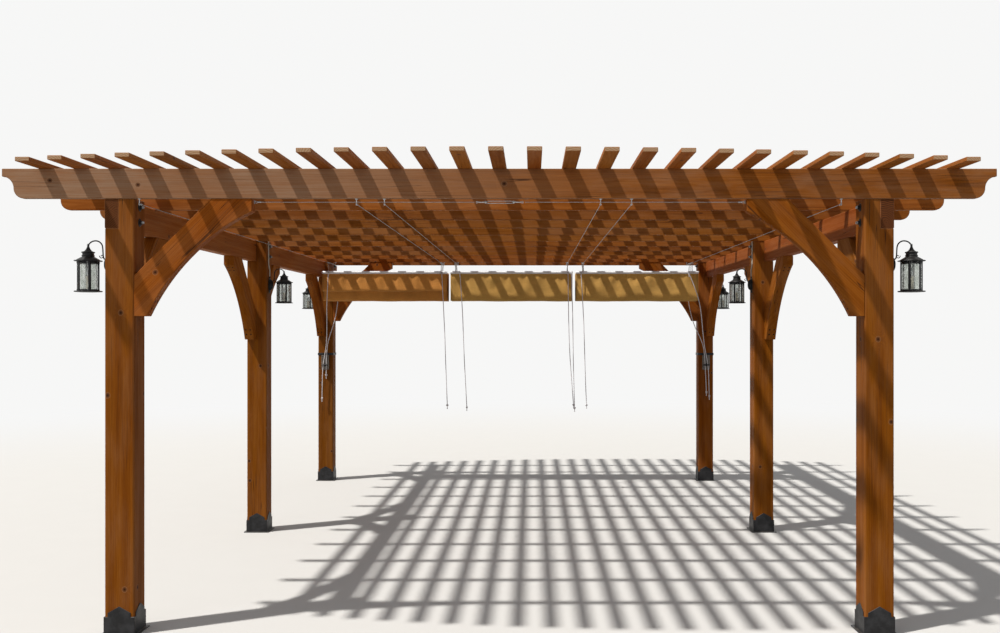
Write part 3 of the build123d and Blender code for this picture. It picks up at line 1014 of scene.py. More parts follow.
    @staticmethod
    def joined(name: str, things: Sequence[Thing]) -> Thing:
        """Join several pieces in one mesh.

        Args:
            name: The whole's name.
            things: The pieces.

        Returns:
            The whole.
        """
        Bench.clear()
        for thing in things:
            thing.select_set(True)
        bpy.context.view_layer.objects.active = things[0]
        bpy.ops.object.join()
        whole = bpy.context.object
        whole.name = name
        whole.data.name = name
        return whole

    @staticmethod
    def dropped(*things: Thing) -> None:
        """Remove the pieces that others were copied from."""
        for thing in things:
            bpy.data.objects.remove(thing)

    @staticmethod
    def curve(name: str, points: Sequence[Point], order: int, radius: float) -> Thing:
        """Return a round bar along a line of points, as a curve.

        Args:
            name: The piece's name.
            points: The line's points, from end to end.
            order: How many points shape each stretch.
            radius: Half the bar's thickness.

        Returns:
            The curve's object.
        """
        line = bpy.data.curves.new(name, "CURVE")
        line.dimensions = "3D"
        spline = line.splines.new("NURBS")
        spline.points.add(len(points) - 1)
        for point, place in zip(spline.points, points):
            point.co = (*place, 1)
        spline.order_u = order
        spline.use_endpoint_u = True
        line.bevel_depth = radius
        line.use_fill_caps = True
        thing = bpy.data.objects.new(name, line)
        bpy.context.scene.collection.objects.link(thing)
        return thing

    @staticmethod
    def rod(name: str, points: Sequence[Point], radius: float) -> Thing:
        """Return a solid bar bent along a line of points.

        Args:
            name: The piece's name.
            points: The line's points, from end to end.
            radius: Half the bar's thickness.

        Returns:
            The bar as a mesh.
        """
        Bench.clear()
        thing = Bench.curve(name, points, 4, radius)
        thing.data.resolution_u = 5
        thing.data.bevel_resolution = 2
        Bench.only(thing)
        bpy.ops.object.convert(target="MESH")
        bpy.ops.object.shade_smooth_by_angle(angle=math.radians(50))
        return bpy.context.object

    @staticmethod
    def finish(thing: Thing, material: Material) -> Thing:
        """Give an object one material.

        Args:
            thing: The object.
            material: Its only material.

        Returns:
            The object.
        """
        thing.data.materials.clear()
        thing.data.materials.append(material)
        return thing


def carry(thing: Thing, stands_for: Sequence[str] = ()) -> Thing:
    """Let a piece ride on the frame, log its size and hide the model nodes that it stands for.

    Args:
        thing: The piece.
        stands_for: The model nodes that it hides.

    Returns:
        The same piece.
    """
    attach(thing, "root")
    if stands_for:
        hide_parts(*stands_for)
    LOG.info("%s: %s faces", thing.name, len(thing.data.polygons) if thing.type == "MESH" else "curve")
    return thing


def deliver(name: str, things: Sequence[Thing], finish: Material, node: str) -> Thing:
    """Join pieces of one finish and let them ride on the frame.

    Args:
        name: The whole's name.
        things: The pieces.
        finish: Their material.
        node: The model node that they stand for.

    Returns:
        The whole.
    """
    return carry(Bench.finish(Bench.joined(name, things), finish), [node])


class Finishes:
    """All the materials, each built once."""

    def __init__(self) -> None:
        """Build the timber, metal, cloth, cord, glass and wax finishes."""
        self.timbers()
        self.iron = IronFinish("black_powder_coat").material()
        self.bolt_iron = IronFinish("black_bolt_steel", rough=0.34, pebble=300.0).material()
        self.lantern_iron = IronFinish(
            "lantern_black", base=(0.007, 0.007, 0.0075), dust=(0.05, 0.045, 0.04), rough=0.34,
            pebble=380.0).material()
        self.zinc = SteelFinish("zinc_plated_steel", crystal=260.0).material()
        self.wire = SteelFinish("drawn_wire", base=(0.36, 0.35, 0.34), rough=0.45, crystal=400.0).material()
        self.weathered_steel = SteelFinish(
            "weathered_cleat_steel", base=(0.2, 0.18, 0.155), rough=0.5, metal=0.6).material()
        self.white = EnamelFinish("white_enamel", (0.86, 0.88, 0.92), (0.55, 0.54, 0.53), 0.3).material()
        self.cream = EnamelFinish("cream_conduit", (0.70, 0.66, 0.58), (0.4, 0.36, 0.3), 0.45).material()
        self.cord = CordFinish("white_braid").material()
        self.canvas = {
            # The three shades are one canvas; the left one's deeper, darker orange is painted light, for the
            # shade it hangs in and the light glowing through it from behind.
            "left": CanvasFinish("canvas_left", 1.555, warp=(0.74, 0.32, 0.07), weft=(0.58, 0.245, 0.05)),
            "middle": CanvasFinish("canvas_middle", 1.52),
            "right": CanvasFinish("canvas_right", 1.525)}
        self.glass = GlassFinish("seeded_glass").material()
        self.wax = WaxFinish("ivory_wax").material()
        self.lamp = EnamelFinish("lamp_glass", (0.75, 0.78, 0.85), (0.5, 0.5, 0.5), 0.2).material()

    def timbers(self) -> None:
        """Build the finish of each kind of timber."""
        side_x = SIZES.outer - SIZES.timber_inset
        post_y = SIZES.post_middle(0)
        beam_z = SIZES.beam + SIZES.beam_half
        self.posts = TimberFinish(
            "post_cedar", Grain.ALONG_Z, (SIZES.outer - SIZES.post_side / 2, post_y, 1.4),
            dark=(0.09, 0.024, 0.003), middle=(0.2, 0.062, 0.009), light=(0.31, 0.115, 0.02),
            pitch=(0.0, SIZES.bay), mirrored=True, knots=0.32).material()
        # The side beams' end grain is near black: painted shade, for the shadow on their ends where they
        # pass the posts.
        self.side_beams = TimberFinish(
            "side_beam_cedar", Grain.ALONG_Y, (side_x, 0.0, SIZES.beam - SIZES.beam_half),
            dark=(0.13, 0.037, 0.009), middle=(0.27, 0.084, 0.022), light=(0.39, 0.145, 0.042),
            mirrored=True, end=(0.03, 0.013, 0.007)).material()
        self.front_beam = TimberFinish(
            "front_beam_cedar", Grain.ALONG_X, (0.0, SIZES.first_beam, beam_z),
            dark=(0.11, 0.034, 0.007), middle=(0.245, 0.086, 0.018), light=(0.36, 0.146, 0.04),
            knots=0.62, weather=0.2, pale=(0.34, 0.205, 0.125), fade=(-1.6, 0.7),
            end=(0.3, 0.16, 0.085)).material()
        self.beams = TimberFinish(
            "beam_cedar", Grain.ALONG_X, (0.0, SIZES.first_beam, beam_z),
            dark=(0.14, 0.04, 0.008), middle=(0.29, 0.1, 0.022), light=(0.41, 0.166, 0.045),
            pitch=(0.0, SIZES.beam_pitch), pale=(0.36, 0.2, 0.11), weather=0.14, edges=False).material()
        self.slats = TimberFinish(
            "slat_cedar", Grain.ALONG_Y, (0.0, 0.0, SIZES.beam_top + SIZES.slat_half),
            dark=(0.14, 0.04, 0.008), middle=(0.3, 0.1, 0.022), light=(0.43, 0.17, 0.045),
            pitch=(SIZES.slat_pitch, 0.0), end=(0.5, 0.35, 0.22), weather=0.14, screws=True).material()
        self.cross_braces = TimberFinish(
            "cross_brace_cedar", Grain.CROSS_BRACE, (1.9, SIZES.first_post + SIZES.timber_inset, 2.4),
            dark=(0.12, 0.031, 0.005), middle=(0.255, 0.076, 0.014), light=(0.38, 0.134, 0.03),
            pitch=(0.0, 2 * SIZES.bay), mirrored=True, edges=False, lags=0.0279).material()
        self.side_braces = TimberFinish(
            "side_brace_cedar", Grain.SIDE_BRACE, (side_x, post_y, 2.2),
            dark=(0.11, 0.03, 0.004), middle=(0.245, 0.078, 0.012), light=(0.36, 0.136, 0.028),
            pitch=(0.0, SIZES.bay), mirrored=True, edges=False, lags=-0.3693).material()

    @staticmethod
    def ease(node: Thing, width: float) -> None:
        """Break a timber's sharp edges with live modifiers, and leave its own mesh as it is.

        Args:
            node: The model node.
            width: The width that the edges lose.
        """
        weld = node.modifiers.new("weld", "WELD")
        weld.merge_threshold = 0.0001
        flat = node.modifiers.new("flat", "DECIMATE")
        flat.decimate_type = "DISSOLVE"
        flat.angle_limit = math.radians(0.4)
        edges = node.modifiers.new("edges", "BEVEL")
        edges.width = width
        edges.segments = 1
        edges.limit_method = "ANGLE"
        edges.angle_limit = math.radians(40)

    def dress_nodes(self, nodes: dict[str, Thing]) -> None:
        """Give every model node that stays its finish, and timber and steel feet their eased edges.

        Args:
            nodes: The model's nodes by name.
        """
        table = (
            ("post_bases", self.iron, 0.0012), ("post_", self.posts, 0.004),
            ("side_beam_", self.side_beams, 0.003), ("cross_beam_front", self.front_beam, 0.003),
            ("cross_beam", self.beams, 0.003), ("slats_", self.slats, 0.0025),
            ("cross_braces", self.cross_braces, 0.003), ("side_braces", self.side_braces, 0.003),
            ("bolts", self.bolt_iron, 0.0), ("lantern_panes", self.glass, 0.0),
            ("lantern_candles", self.wax, 0.0), ("lantern_conduits", self.cream, 0.0),
            ("lanterns", self.lantern_iron, 0.0), ("shade_rails", self.white, 0.0),
            ("shade_battens", self.white, 0.0), ("guide_wires", self.wire, 0.0),
            ("cord_cleats", self.iron, 0.0), ("pull_cord", self.cord, 0.0),
            ("shade_", self.zinc, 0.0), ("wire_", self.zinc, 0.0))
        for name, node in nodes.items():
            finish, width = next((paint, wide) for start, paint, wide in table if name.startswith(start))
            if node.data.materials:
                for index in range(len(node.data.materials)):
                    node.data.materials[index] = finish
            else:
                node.data.materials.append(finish)
            if width:
                self.ease(node, width)


@dataclass
class Studio:
    """The pale floor, the lights and the camera at the photograph's angle."""

    pale: Colour = (0.93, 0.93, 0.925)
    floor_colour: Colour = (0.575, 0.571, 0.559)
    floor_bounce: Colour = (0.23, 0.226, 0.218)
    floor_radius: float = 70.0
    fade_from: float = 6.5
    fade_to: float = 17.0
    sun_strength: float = 4.4
    sun_angle: float = 1.6
    sun_colour: Colour = (1.0, 0.965, 0.91)
    sun_way: Point = (0.485, 0.265, -1.0)
    sky_strength: float = 0.35
    sky_colour: Colour = (0.97, 0.98, 1.0)
    panel_power: float = 110.0
    panel_size: float = 9.0
    panel_place: Point = (-4.0, -13.0, 5.0)
    panel_aim: Point = (0.0, 0.0, 1.2)
    camera_place: Point = (0.2105, -10.399, 1.997)
    lens: float = 37.35
    shift: tuple[float, float] = (-0.032, 0.0095)

    @staticmethod
    def add(name: str, data: bpy.types.ID) -> Thing:
        """Put a camera or a lamp in the scene.

        Args:
            name: Its name.
            data: The camera's or the lamp's settings.

        Returns:
            The new object.
        """
        thing = bpy.data.objects.new(name, data)
        bpy.context.scene.collection.objects.link(thing)
        return thing

    @staticmethod
    def aim(way: Vector) -> object:
        """Return the turn that points a lamp one way."""
        return way.to_track_quat("-Z", "Y").to_euler()

    def camera(self) -> None:
        """Set the camera up, level and looking along +Y."""
        data = bpy.data.cameras.new("camera")
        data.sensor_width = 36.0
        data.lens = self.lens
        data.shift_x, data.shift_y = self.shift
        data.clip_end = 200.0
        camera = self.add("camera", data)
        camera.location = self.camera_place
        camera.rotation_euler = (math.radians(90), 0, 0)
        bpy.context.scene.camera = camera

    def seen(self, sheet: NodeSheet) -> Value:
        """Return 1 for rays that show the background: from the camera, a mirror or glass.

        Args:
            sheet: The nodes of the floor or the world.

        Returns:
            The rays' mask.
        """
        rays = sheet.node("ShaderNodeLightPath")
        camera, glossy, through = (
            Value(sheet, rays.outputs[f"Is {kind} Ray"]) for kind in ("Camera", "Glossy", "Transmission"))
        return sheet.math("MAXIMUM", camera, sheet.math("MAXIMUM", glossy, through))

    def sky(self) -> None:
        """Light the object evenly, and show a pale background."""
        world = bpy.data.worlds.new("sky")
        bpy.context.scene.world = world
        world.use_nodes = True
        sheet = NodeSheet(world.node_tree)
        sheet.tree.nodes.clear()
        lit, shown = (
            sheet.fed("ShaderNodeBackground", {"Color": colour, "Strength": strength})
            for colour, strength in ((self.sky_colour, self.sky_strength), (self.pale, 1.0)))
        mix = sheet.fed("ShaderNodeMixShader", {0: self.seen(sheet), 1: lit, 2: shown})
        sheet.feed(sheet.node("ShaderNodeOutputWorld").inputs["Surface"], mix)

    def floor(self) -> None:
        """Lay a wide pale floor that fades into the background far away."""
        Bench.clear()
        bpy.ops.mesh.primitive_circle_add(
            vertices=96, radius=self.floor_radius, fill_type="NGON", location=(0, 0, 0))
        floor = Bench.made("floor")
        sheet = MaterialSheet("pale_floor")
        place = sheet.place()
        x, y, _ = sheet.split(place)
        seen = self.seen(sheet)
        low = tuple(part * 0.97 for part in self.floor_colour)
        shown = sheet.blend(sheet.noise(place, 3.0, 4.0), self.floor_colour, low)
        sheet.feed(sheet.shader.inputs["Base Color"], sheet.blend(seen, self.floor_bounce, shown))
        sheet.shader.inputs["Roughness"].default_value = 0.9
        glow = sheet.fed("ShaderNodeEmission", {"Color": self.pale})
        share = distance(x, y).spread(self.fade_from, self.fade_to) * seen
        lit = Value(sheet, sheet.shader.outputs[0])
        mix = sheet.fed("ShaderNodeMixShader", {0: share, 1: lit, 2: glow})
        sheet.feed(sheet.tree.nodes["Material Output"].inputs["Surface"], mix)
        Bench.finish(floor, sheet.material)

    def lamps(self) -> None:
        """Hang a soft sun from the front left and a wide panel that fills the front."""
        sun = bpy.data.lights.new("sun", "SUN")
        sun.energy = self.sun_strength
        sun.angle = math.radians(self.sun_angle)
        sun.color = self.sun_colour
        self.add("sun", sun).rotation_euler = self.aim(Vector(self.sun_way))
        panel = bpy.data.lights.new("panel", "AREA")
        panel.energy = self.panel_power
        panel.size = self.panel_size
        fill = self.add("panel", panel)
        fill.location = self.panel_place
        fill.rotation_euler = self.aim(Vector(self.panel_aim) - Vector(self.panel_place))

    def build(self) -> None:
        """Set the camera, the sky, the floor and the lamps."""
        self.camera()
        self.sky()
        self.floor()
        self.lamps()
        bpy.context.scene.view_settings.view_transform = "Standard"


@dataclass
class PullCord:
    """One white pull cord with the knot at its end."""

    name: str
    route: Sequence[Point]
    length: float
    diameter: float = 0.010

    def build(self, knot: Thing, material: Material) -> None:
        """Make the cord, tie its knot and let both ride on the frame.

        Args:
            knot: The knot that every cord's end is tied in.
            material: The cord's finish.
        """
        thing = Bench.curve(self.name + "_line", self.route, 3, self.diameter / 2)
        thing.data.resolution_u = 14
        thing.data.bevel_resolution = 3
        thing.data.materials.append(material)
        end = Vector(self.route[-1])
        turn = Matrix.Rotation(sum(self.route[-1]) * 3.7, 4, "Z")
        tied = Bench.copied(knot, self.name + "_knot", Matrix.Translation(end) @ turn)
        start = Vector(self.route[0]) - Vector((0.0, 0.0, 0.007))
        first = Bench.copied(knot, "turns", Matrix.Translation(start) @ turn @ Matrix.Scale(0.9, 4))
        tied = Bench.joined(self.name + "_knots", [tied, first])
        carry(tied)
        carry(thing, [self.name])


@dataclass
class CordSet:
    """All the pull cords, on the routes that the model's tubes follow."""

    cleat_y: float = 2.9555
    top: float = 2.6565
    back: float = 2.8775
    loop: float = 0.0043
    tail: Profile = ((0.0066, -0.045), (0.0058, -0.038), (0.0043, -0.028), (0.0045, -0.008))

    def routes(self) -> list[PullCord]:
        """Return each cord with its route from the top down."""
        f, c, x, h = SIZES.cord_y, self.cleat_y, SIZES.cleat_x, SIZES.cleat_z
        top, back = self.top, self.back
        left = [(-2.323, f, top), (-2.336, f, 2.42), (-2.346, f + 0.013, 2.23), (-2.372, f + 0.161, 2.01),
                (0.03 - x, c - 0.0417, h + 0.325), (-0.001 - x, c, h + 0.195), (-0.026 - x, c, h + 0.045),
                (-0.034 - x, c, h - 0.145), (-0.037 - x, c, h - 0.367)]
        right = [(2.164, f, top - 0.0015), (2.232, f, 2.49), (2.29, f, 2.31), (2.32, f + 0.033, 2.16),
                 (2.36, f + 0.183, 1.98), (x - 0.035, c - 0.0367, h + 0.33), (x - 0.007, c, h + 0.205),
                 (x + 0.025, c, h + 0.045), (x + 0.031, c, h - 0.145), (x + 0.037, c, h - 0.341)]
        left_back = [(-2.27, back, 2.655), (-2.272, back, 2.457), (-2.277, back + 0.004, 2.277),
                     (-2.319, back + 0.03, 2.06), (0.048 - x, c - 0.016, h + 0.39), (0.024 - x, c, h + 0.24),
                     (0.017 - x, c, h + 0.08), (0.018 - x, c, h - 0.07)]
        right_back = [(2.2, back, 2.655), (2.202, back, 2.457), (2.215, back + 0.004, 2.277),
                      (2.28, back + 0.03, 2.02), (x - 0.062, c - 0.016, h + 0.375), (x - 0.026, c, h + 0.23),
                      (x - 0.017, c, h + 0.06), (x - 0.007, c, h - 0.12), (x, c, h - 0.29)]
        hanging = {
            "1": ([(-0.912, top), (-0.891, 2.25), (-0.872, 1.83), (-0.86, 1.42), (-0.843, 1.01)], 1.648),
            "2": ([(-0.687, top), (-0.654, 2.22), (-0.641, 1.79), (-0.622, 1.38), (-0.6, 0.985)], 1.674),
            "3": ([(0.659, top), (0.664, 2.23), (0.672, 1.81), (0.696, 1.4), (0.727, 1.015)], 1.643),
            "4": ([(0.7, top), (0.716, 2.22), (0.721, 1.79), (0.728, 1.37), (0.74, 0.975)], 1.682),
            "5": ([(0.821, top), (0.846, 2.24), (0.862, 1.82), (0.871, 1.41), (0.889, 1.01)], 1.648)}
        cords = [PullCord("pull_cord_left", left, 1.745), PullCord("pull_cord_right", right, 1.757),
                 PullCord("pull_cord_left_back", left_back, 1.315),
                 PullCord("pull_cord_right_back", right_back, 1.554)]
        for name, (route, length) in hanging.items():
            cords.append(PullCord("pull_cord_" + name, [(px, f, pz) for px, pz in route], length))
        return cords

    def knot(self, material: Material) -> Thing:
        """Tie one overhand knot with a short frayed tail.

        Args:
            material: The cord's finish.

        Returns:
            The knot, with the cord's end at its middle.
        """
        loop = []
        for step in range(37):
            t = 2 * math.pi * step / 36
            loop.append((self.loop * (math.sin(t) + 2 * math.sin(2 * t)), -0.0052 * math.sin(3 * t),
                         self.loop * (math.cos(t) - 2 * math.cos(2 * t))))
        turns = Bench.rod("knot_turns", loop, 0.0042)
        tail = Bench.turned("knot_tail", self.tail, 10)
        Bench.soften(tail, 0.0008)
        return Bench.finish(Bench.joined("knot", [turns, tail]), material)

    def build(self, finishes: Finishes) -> None:
        """Make every cord and its knot.

        Args:
            finishes: All the materials.
        """
        knot = self.knot(finishes.cord)
        for cord in self.routes():
            cord.build(knot, finishes.cord)
        Bench.dropped(knot)


@dataclass
class ShadeCloth:
    """One gathered canvas that hangs in folds from its rail and its battens."""

    side: str
    left: float
    right: float
    first_drop: float
    phase: float
    columns: int = 104
    thickness: float = 0.0012
    pocket: float = 0.0096

    def wall(self, y: float, drop: float, shallow: bool) -> list[tuple[float, float]]:
        """Return one hanging side of a fold, from the top down, pulled in at a batten's pocket.

        Args:
            y: Where the side hangs.
            drop: How far the fold hangs down.
            shallow: Whether the side meets a pocket.

        Returns:
            The side's points, as Y and Z.
        """
        line = []
        half = SIZES.fold_pitch / 2
        lean = half / 2 - self.pocket if shallow else 0.0
        for step in range(11):
            depth = 0.004 + (drop - half / 2 - 0.004) * (step / 10) ** 1.25
            near = math.exp(-depth / 0.022)
            line.append((y + lean * near, SIZES.cloth_top - depth))
        return line

    def path(self) -> list[tuple[float, float]]:
        """Return the folds' line, seen from the side, from the rail to the last batten."""
        half = SIZES.fold_pitch / 2
        batten_z = SIZES.cloth_top + 0.008
        line = [(SIZES.rail_y, SIZES.cloth_top + 0.0005)]
        for count in range(SIZES.fold_count):
            y = SIZES.rail_y + count * SIZES.fold_pitch
            drop = self.first_drop if count == 0 else SIZES.fold_drop
            low = SIZES.cloth_top - drop + half / 2
            down = self.wall(y, drop, False)
            if count:
                down = [(2 * y - at, z) for at, z in self.wall(y, drop, True)]
            line += down
            for step in range(1, 6):
                turn = math.pi * step / 6
                line.append((y + half / 2 * (1 - math.cos(turn)), low - half / 2 * math.sin(turn)))
            last = count == SIZES.fold_count - 1
            line += reversed(self.wall(y + half, drop, not last))
            middle = y + half + (0.0 if last else half / 2)
            for step in range(0, 9 if last else 7):
                turn = math.pi * step / 6
                if last:
                    turn = math.radians(40) * step - math.radians(60)
                across = middle - self.pocket * math.cos(turn)
                line.append((across, batten_z + self.pocket * math.sin(turn)))
        return line

    def flutter(self, x: float, wall: float, depth: float) -> tuple[float, float]:
        """Return how far the cloth stands out and hangs down at a place.

        Args:
            x: The place across the cloth.
            wall: Which wall of the folds it is on.
            depth: How far below the rail it is.

        Returns:
            The shifts along Y and Z.
        """
        free = min(1.0, max(0.0, (depth - 0.004) / 0.06))
        pucker = math.exp(-max(depth, 0.0) / 0.07) * free * 2.4
        edge = min(x - self.left, self.right - x)
        out = 0.0042 * pucker * math.sin(2 * math.pi * x / 0.118 + self.phase + 0.5 * math.sin(x * 9))
        out += 0.0048 * free * math.sin(2 * math.pi * x / 0.53 + 7.5 * depth + self.phase)
        out += 0.0019 * free * math.sin(2 * math.pi * x / 0.23 - 21.0 * depth + wall * 1.7)
        out += 0.006 * free * noise.noise(Vector((x * 7.0 + self.phase, depth * 9.0, round(wall) * 0.9)))
        out += 0.005 * free * math.exp(-edge / 0.05) * math.sin(wall * 2.1 + depth * 11.0)
        fall = -0.0035 * free * (1 + math.sin(2 * math.pi * x / 0.78 + wall * 0.9 + self.phase))
        return out, fall

    def build(self, finish: Material) -> None:
        """Args:
            finish: The canvas.
        """
        line = self.path()
        gone = [0.0]
        for one, two in zip(line, line[1:]):
            gone.append(gone[-1] + math.dist(one, two))
        width = self.right - self.left
        Bench.clear()
        bpy.ops.mesh.primitive_grid_add(x_subdivisions=self.columns, y_subdivisions=len(line) - 1, size=1)
        sheet = bpy.context.object
        sheet.name = "canvas_" + self.side
        for vertex in sheet.data.vertices:
            row = round((vertex.co.y + 0.5) * (len(line) - 1))
            x = self.left + (vertex.co.x + 0.5) * width
            y, z = line[row]
            wall = (y - SIZES.rail_y) / (SIZES.fold_pitch / 2)
            out, fall = self.flutter(x, wall, SIZES.cloth_top - z)
            vertex.co = (x, y + out, z + fall)
        for spot in sheet.data.uv_layers[0].data:
            row = round(spot.uv.y * (len(line) - 1))
            spot.uv = (spot.uv.x * width, gone[row])
        Bench.smooth(Bench.thickened(sheet, self.thickness, 0.0))
        Bench.finish(sheet, finish)
        carry(sheet, ["shade_cloth_" + self.side])


@dataclass
class ShadeRail:
    """A white front rail with its end plugs and the ring eyes of its pull cords."""

    left: float
    right: float
    eyes: Sequence[float]
    plug: Profile = ((0.009, -0.004), (0.0135, -0.0032), (0.0155, -0.001), (0.0155, 0.0004))
    stud: Profile = ((0.0075, 0.0), (0.0075, 0.0022), (0.004, 0.003), (0.004, 0.008), (0.0056, 0.009),
                     (0.0056, 0.0125), (0.0036, 0.014))

    def tube(self) -> Thing:
        """Return the tube with a plug at each end."""
        long, wide = self.right - self.left, SIZES.rail_radius
        profile = [*self.plug, (wide, 0.0012), (wide, 0.05), (wide, long - 0.05), (wide, long - 0.0012)]
        profile += [(radius, long - height) for radius, height in reversed(self.plug)]
        tube = Bench.turned("rail_tube", profile, 40)
        Bench.moved(tube, at((self.left, SIZES.rail_y, SIZES.rail_z), 90, "Y"))
        return Bench.soften(tube, 0.0004)

    def eye(self, x: float) -> Thing:
        """Return the screwed stud and ring that a cord is tied to.

        Args:
            x: Where it sits.

        Returns:
            The eye.
        """
        stud = Bench.turned("stud", self.stud, 16)
        Bench.moved(stud, at((x, SIZES.rail_y - SIZES.rail_radius + 0.0008, SIZES.rail_z), 90, "X"))
        ring = Bench.ring("ring", 0.0082, 0.0022)
        Bench.moved(ring, at((x, SIZES.cord_y, SIZES.rail_z - 0.0045), 90, "X"))
        return Bench.joined("eye", [stud, ring])

    def build(self, number: int, finishes: Finishes) -> None:
        """Make the rail and its eyes.

        Args:
            number: The shade's number, from the left.
            finishes: All the materials.
        """
        tube = Bench.finish(self.tube(), finishes.white)
        tube.name = f"front_rail_{number}"
        carry(tube, ["shade_rails"])
        eyes = [self.eye(x) for x in self.eyes]
        deliver(f"rail_eyes_{number}", eyes, finishes.zinc, "shade_rails")


@dataclass
class WireHook:
    """A round wire hook that holds a rail or a batten under a guide wire."""

    clasp: float = 0.0018
    batten_radius: float = 0.0102
    batten_rise: float = 0.0163
    bead: Profile = ((0.0026, -0.001), (0.0046, 0.001), (0.0046, 0.006), (0.0026, 0.009))

    def shape(self, name: str, tube: float, rise: float) -> Thing:
        """Return a hook round a tube of one radius, with its seat at the origin.

        Args:
            name: The hook's name.
            tube: The radius of what it holds.
            rise: How far above the seat the wire runs.

        Returns:
            The hook.
        """
        band = Bench.ring("band", tube + self.clasp * 0.8, self.clasp, 24)
        Bench.moved(band, at((0, 0, -tube), 90, "Y"))
        bead = Bench.soften(Bench.turned("bead", self.bead, 12), 0.0006)
        high = rise + 0.0045
        line = ((0, 0.002), (0, 0.02), (0, rise * 0.55), (-0.0055, rise * 0.75), (-0.0085, rise - 0.006),
                (-0.008, high - 0.001), (-0.0035, high + 0.0022), (0.0035, high + 0.0022),
                (0.008, high - 0.001), (0.0078, rise - 0.009), (0.0045, rise - 0.013))
        stem = Bench.rod("stem", [(x, 0, z) for x, z in line], self.clasp)
        return Bench.joined(name, [band, bead, stem])

    def build(self, wires: Sequence[float], finishes: Finishes) -> None:
        """Hang every rail and batten from its two wires.

        Args:
            wires: Where the guide wires run.
            finishes: All the materials.
        """
        rail_seat = SIZES.rail_z + SIZES.rail_radius
        batten_seat = SIZES.cloth_top + self.batten_rise
        big = self.shape("rail_hook", SIZES.rail_radius, SIZES.wire_z - rail_seat)
        small = self.shape("batten_hook", self.batten_radius, SIZES.wire_z - batten_seat)
        steps = [count + 0.75 for count in range(SIZES.fold_count - 1)] + [SIZES.fold_count - 0.5]
        made = []
        for count, x in enumerate(wires):
            turn = 180 * (count % 2)
            made.append(Bench.copied(big, "hook", at((x, SIZES.rail_y, rail_seat), turn)))
            for step in steps:
                place = (x, SIZES.rail_y + step * SIZES.fold_pitch, batten_seat)
                made.append(Bench.copied(small, "hook", at(place, turn)))
        Bench.dropped(big, small)
        deliver("wire_hooks", made, finishes.zinc, "shade_hangers")


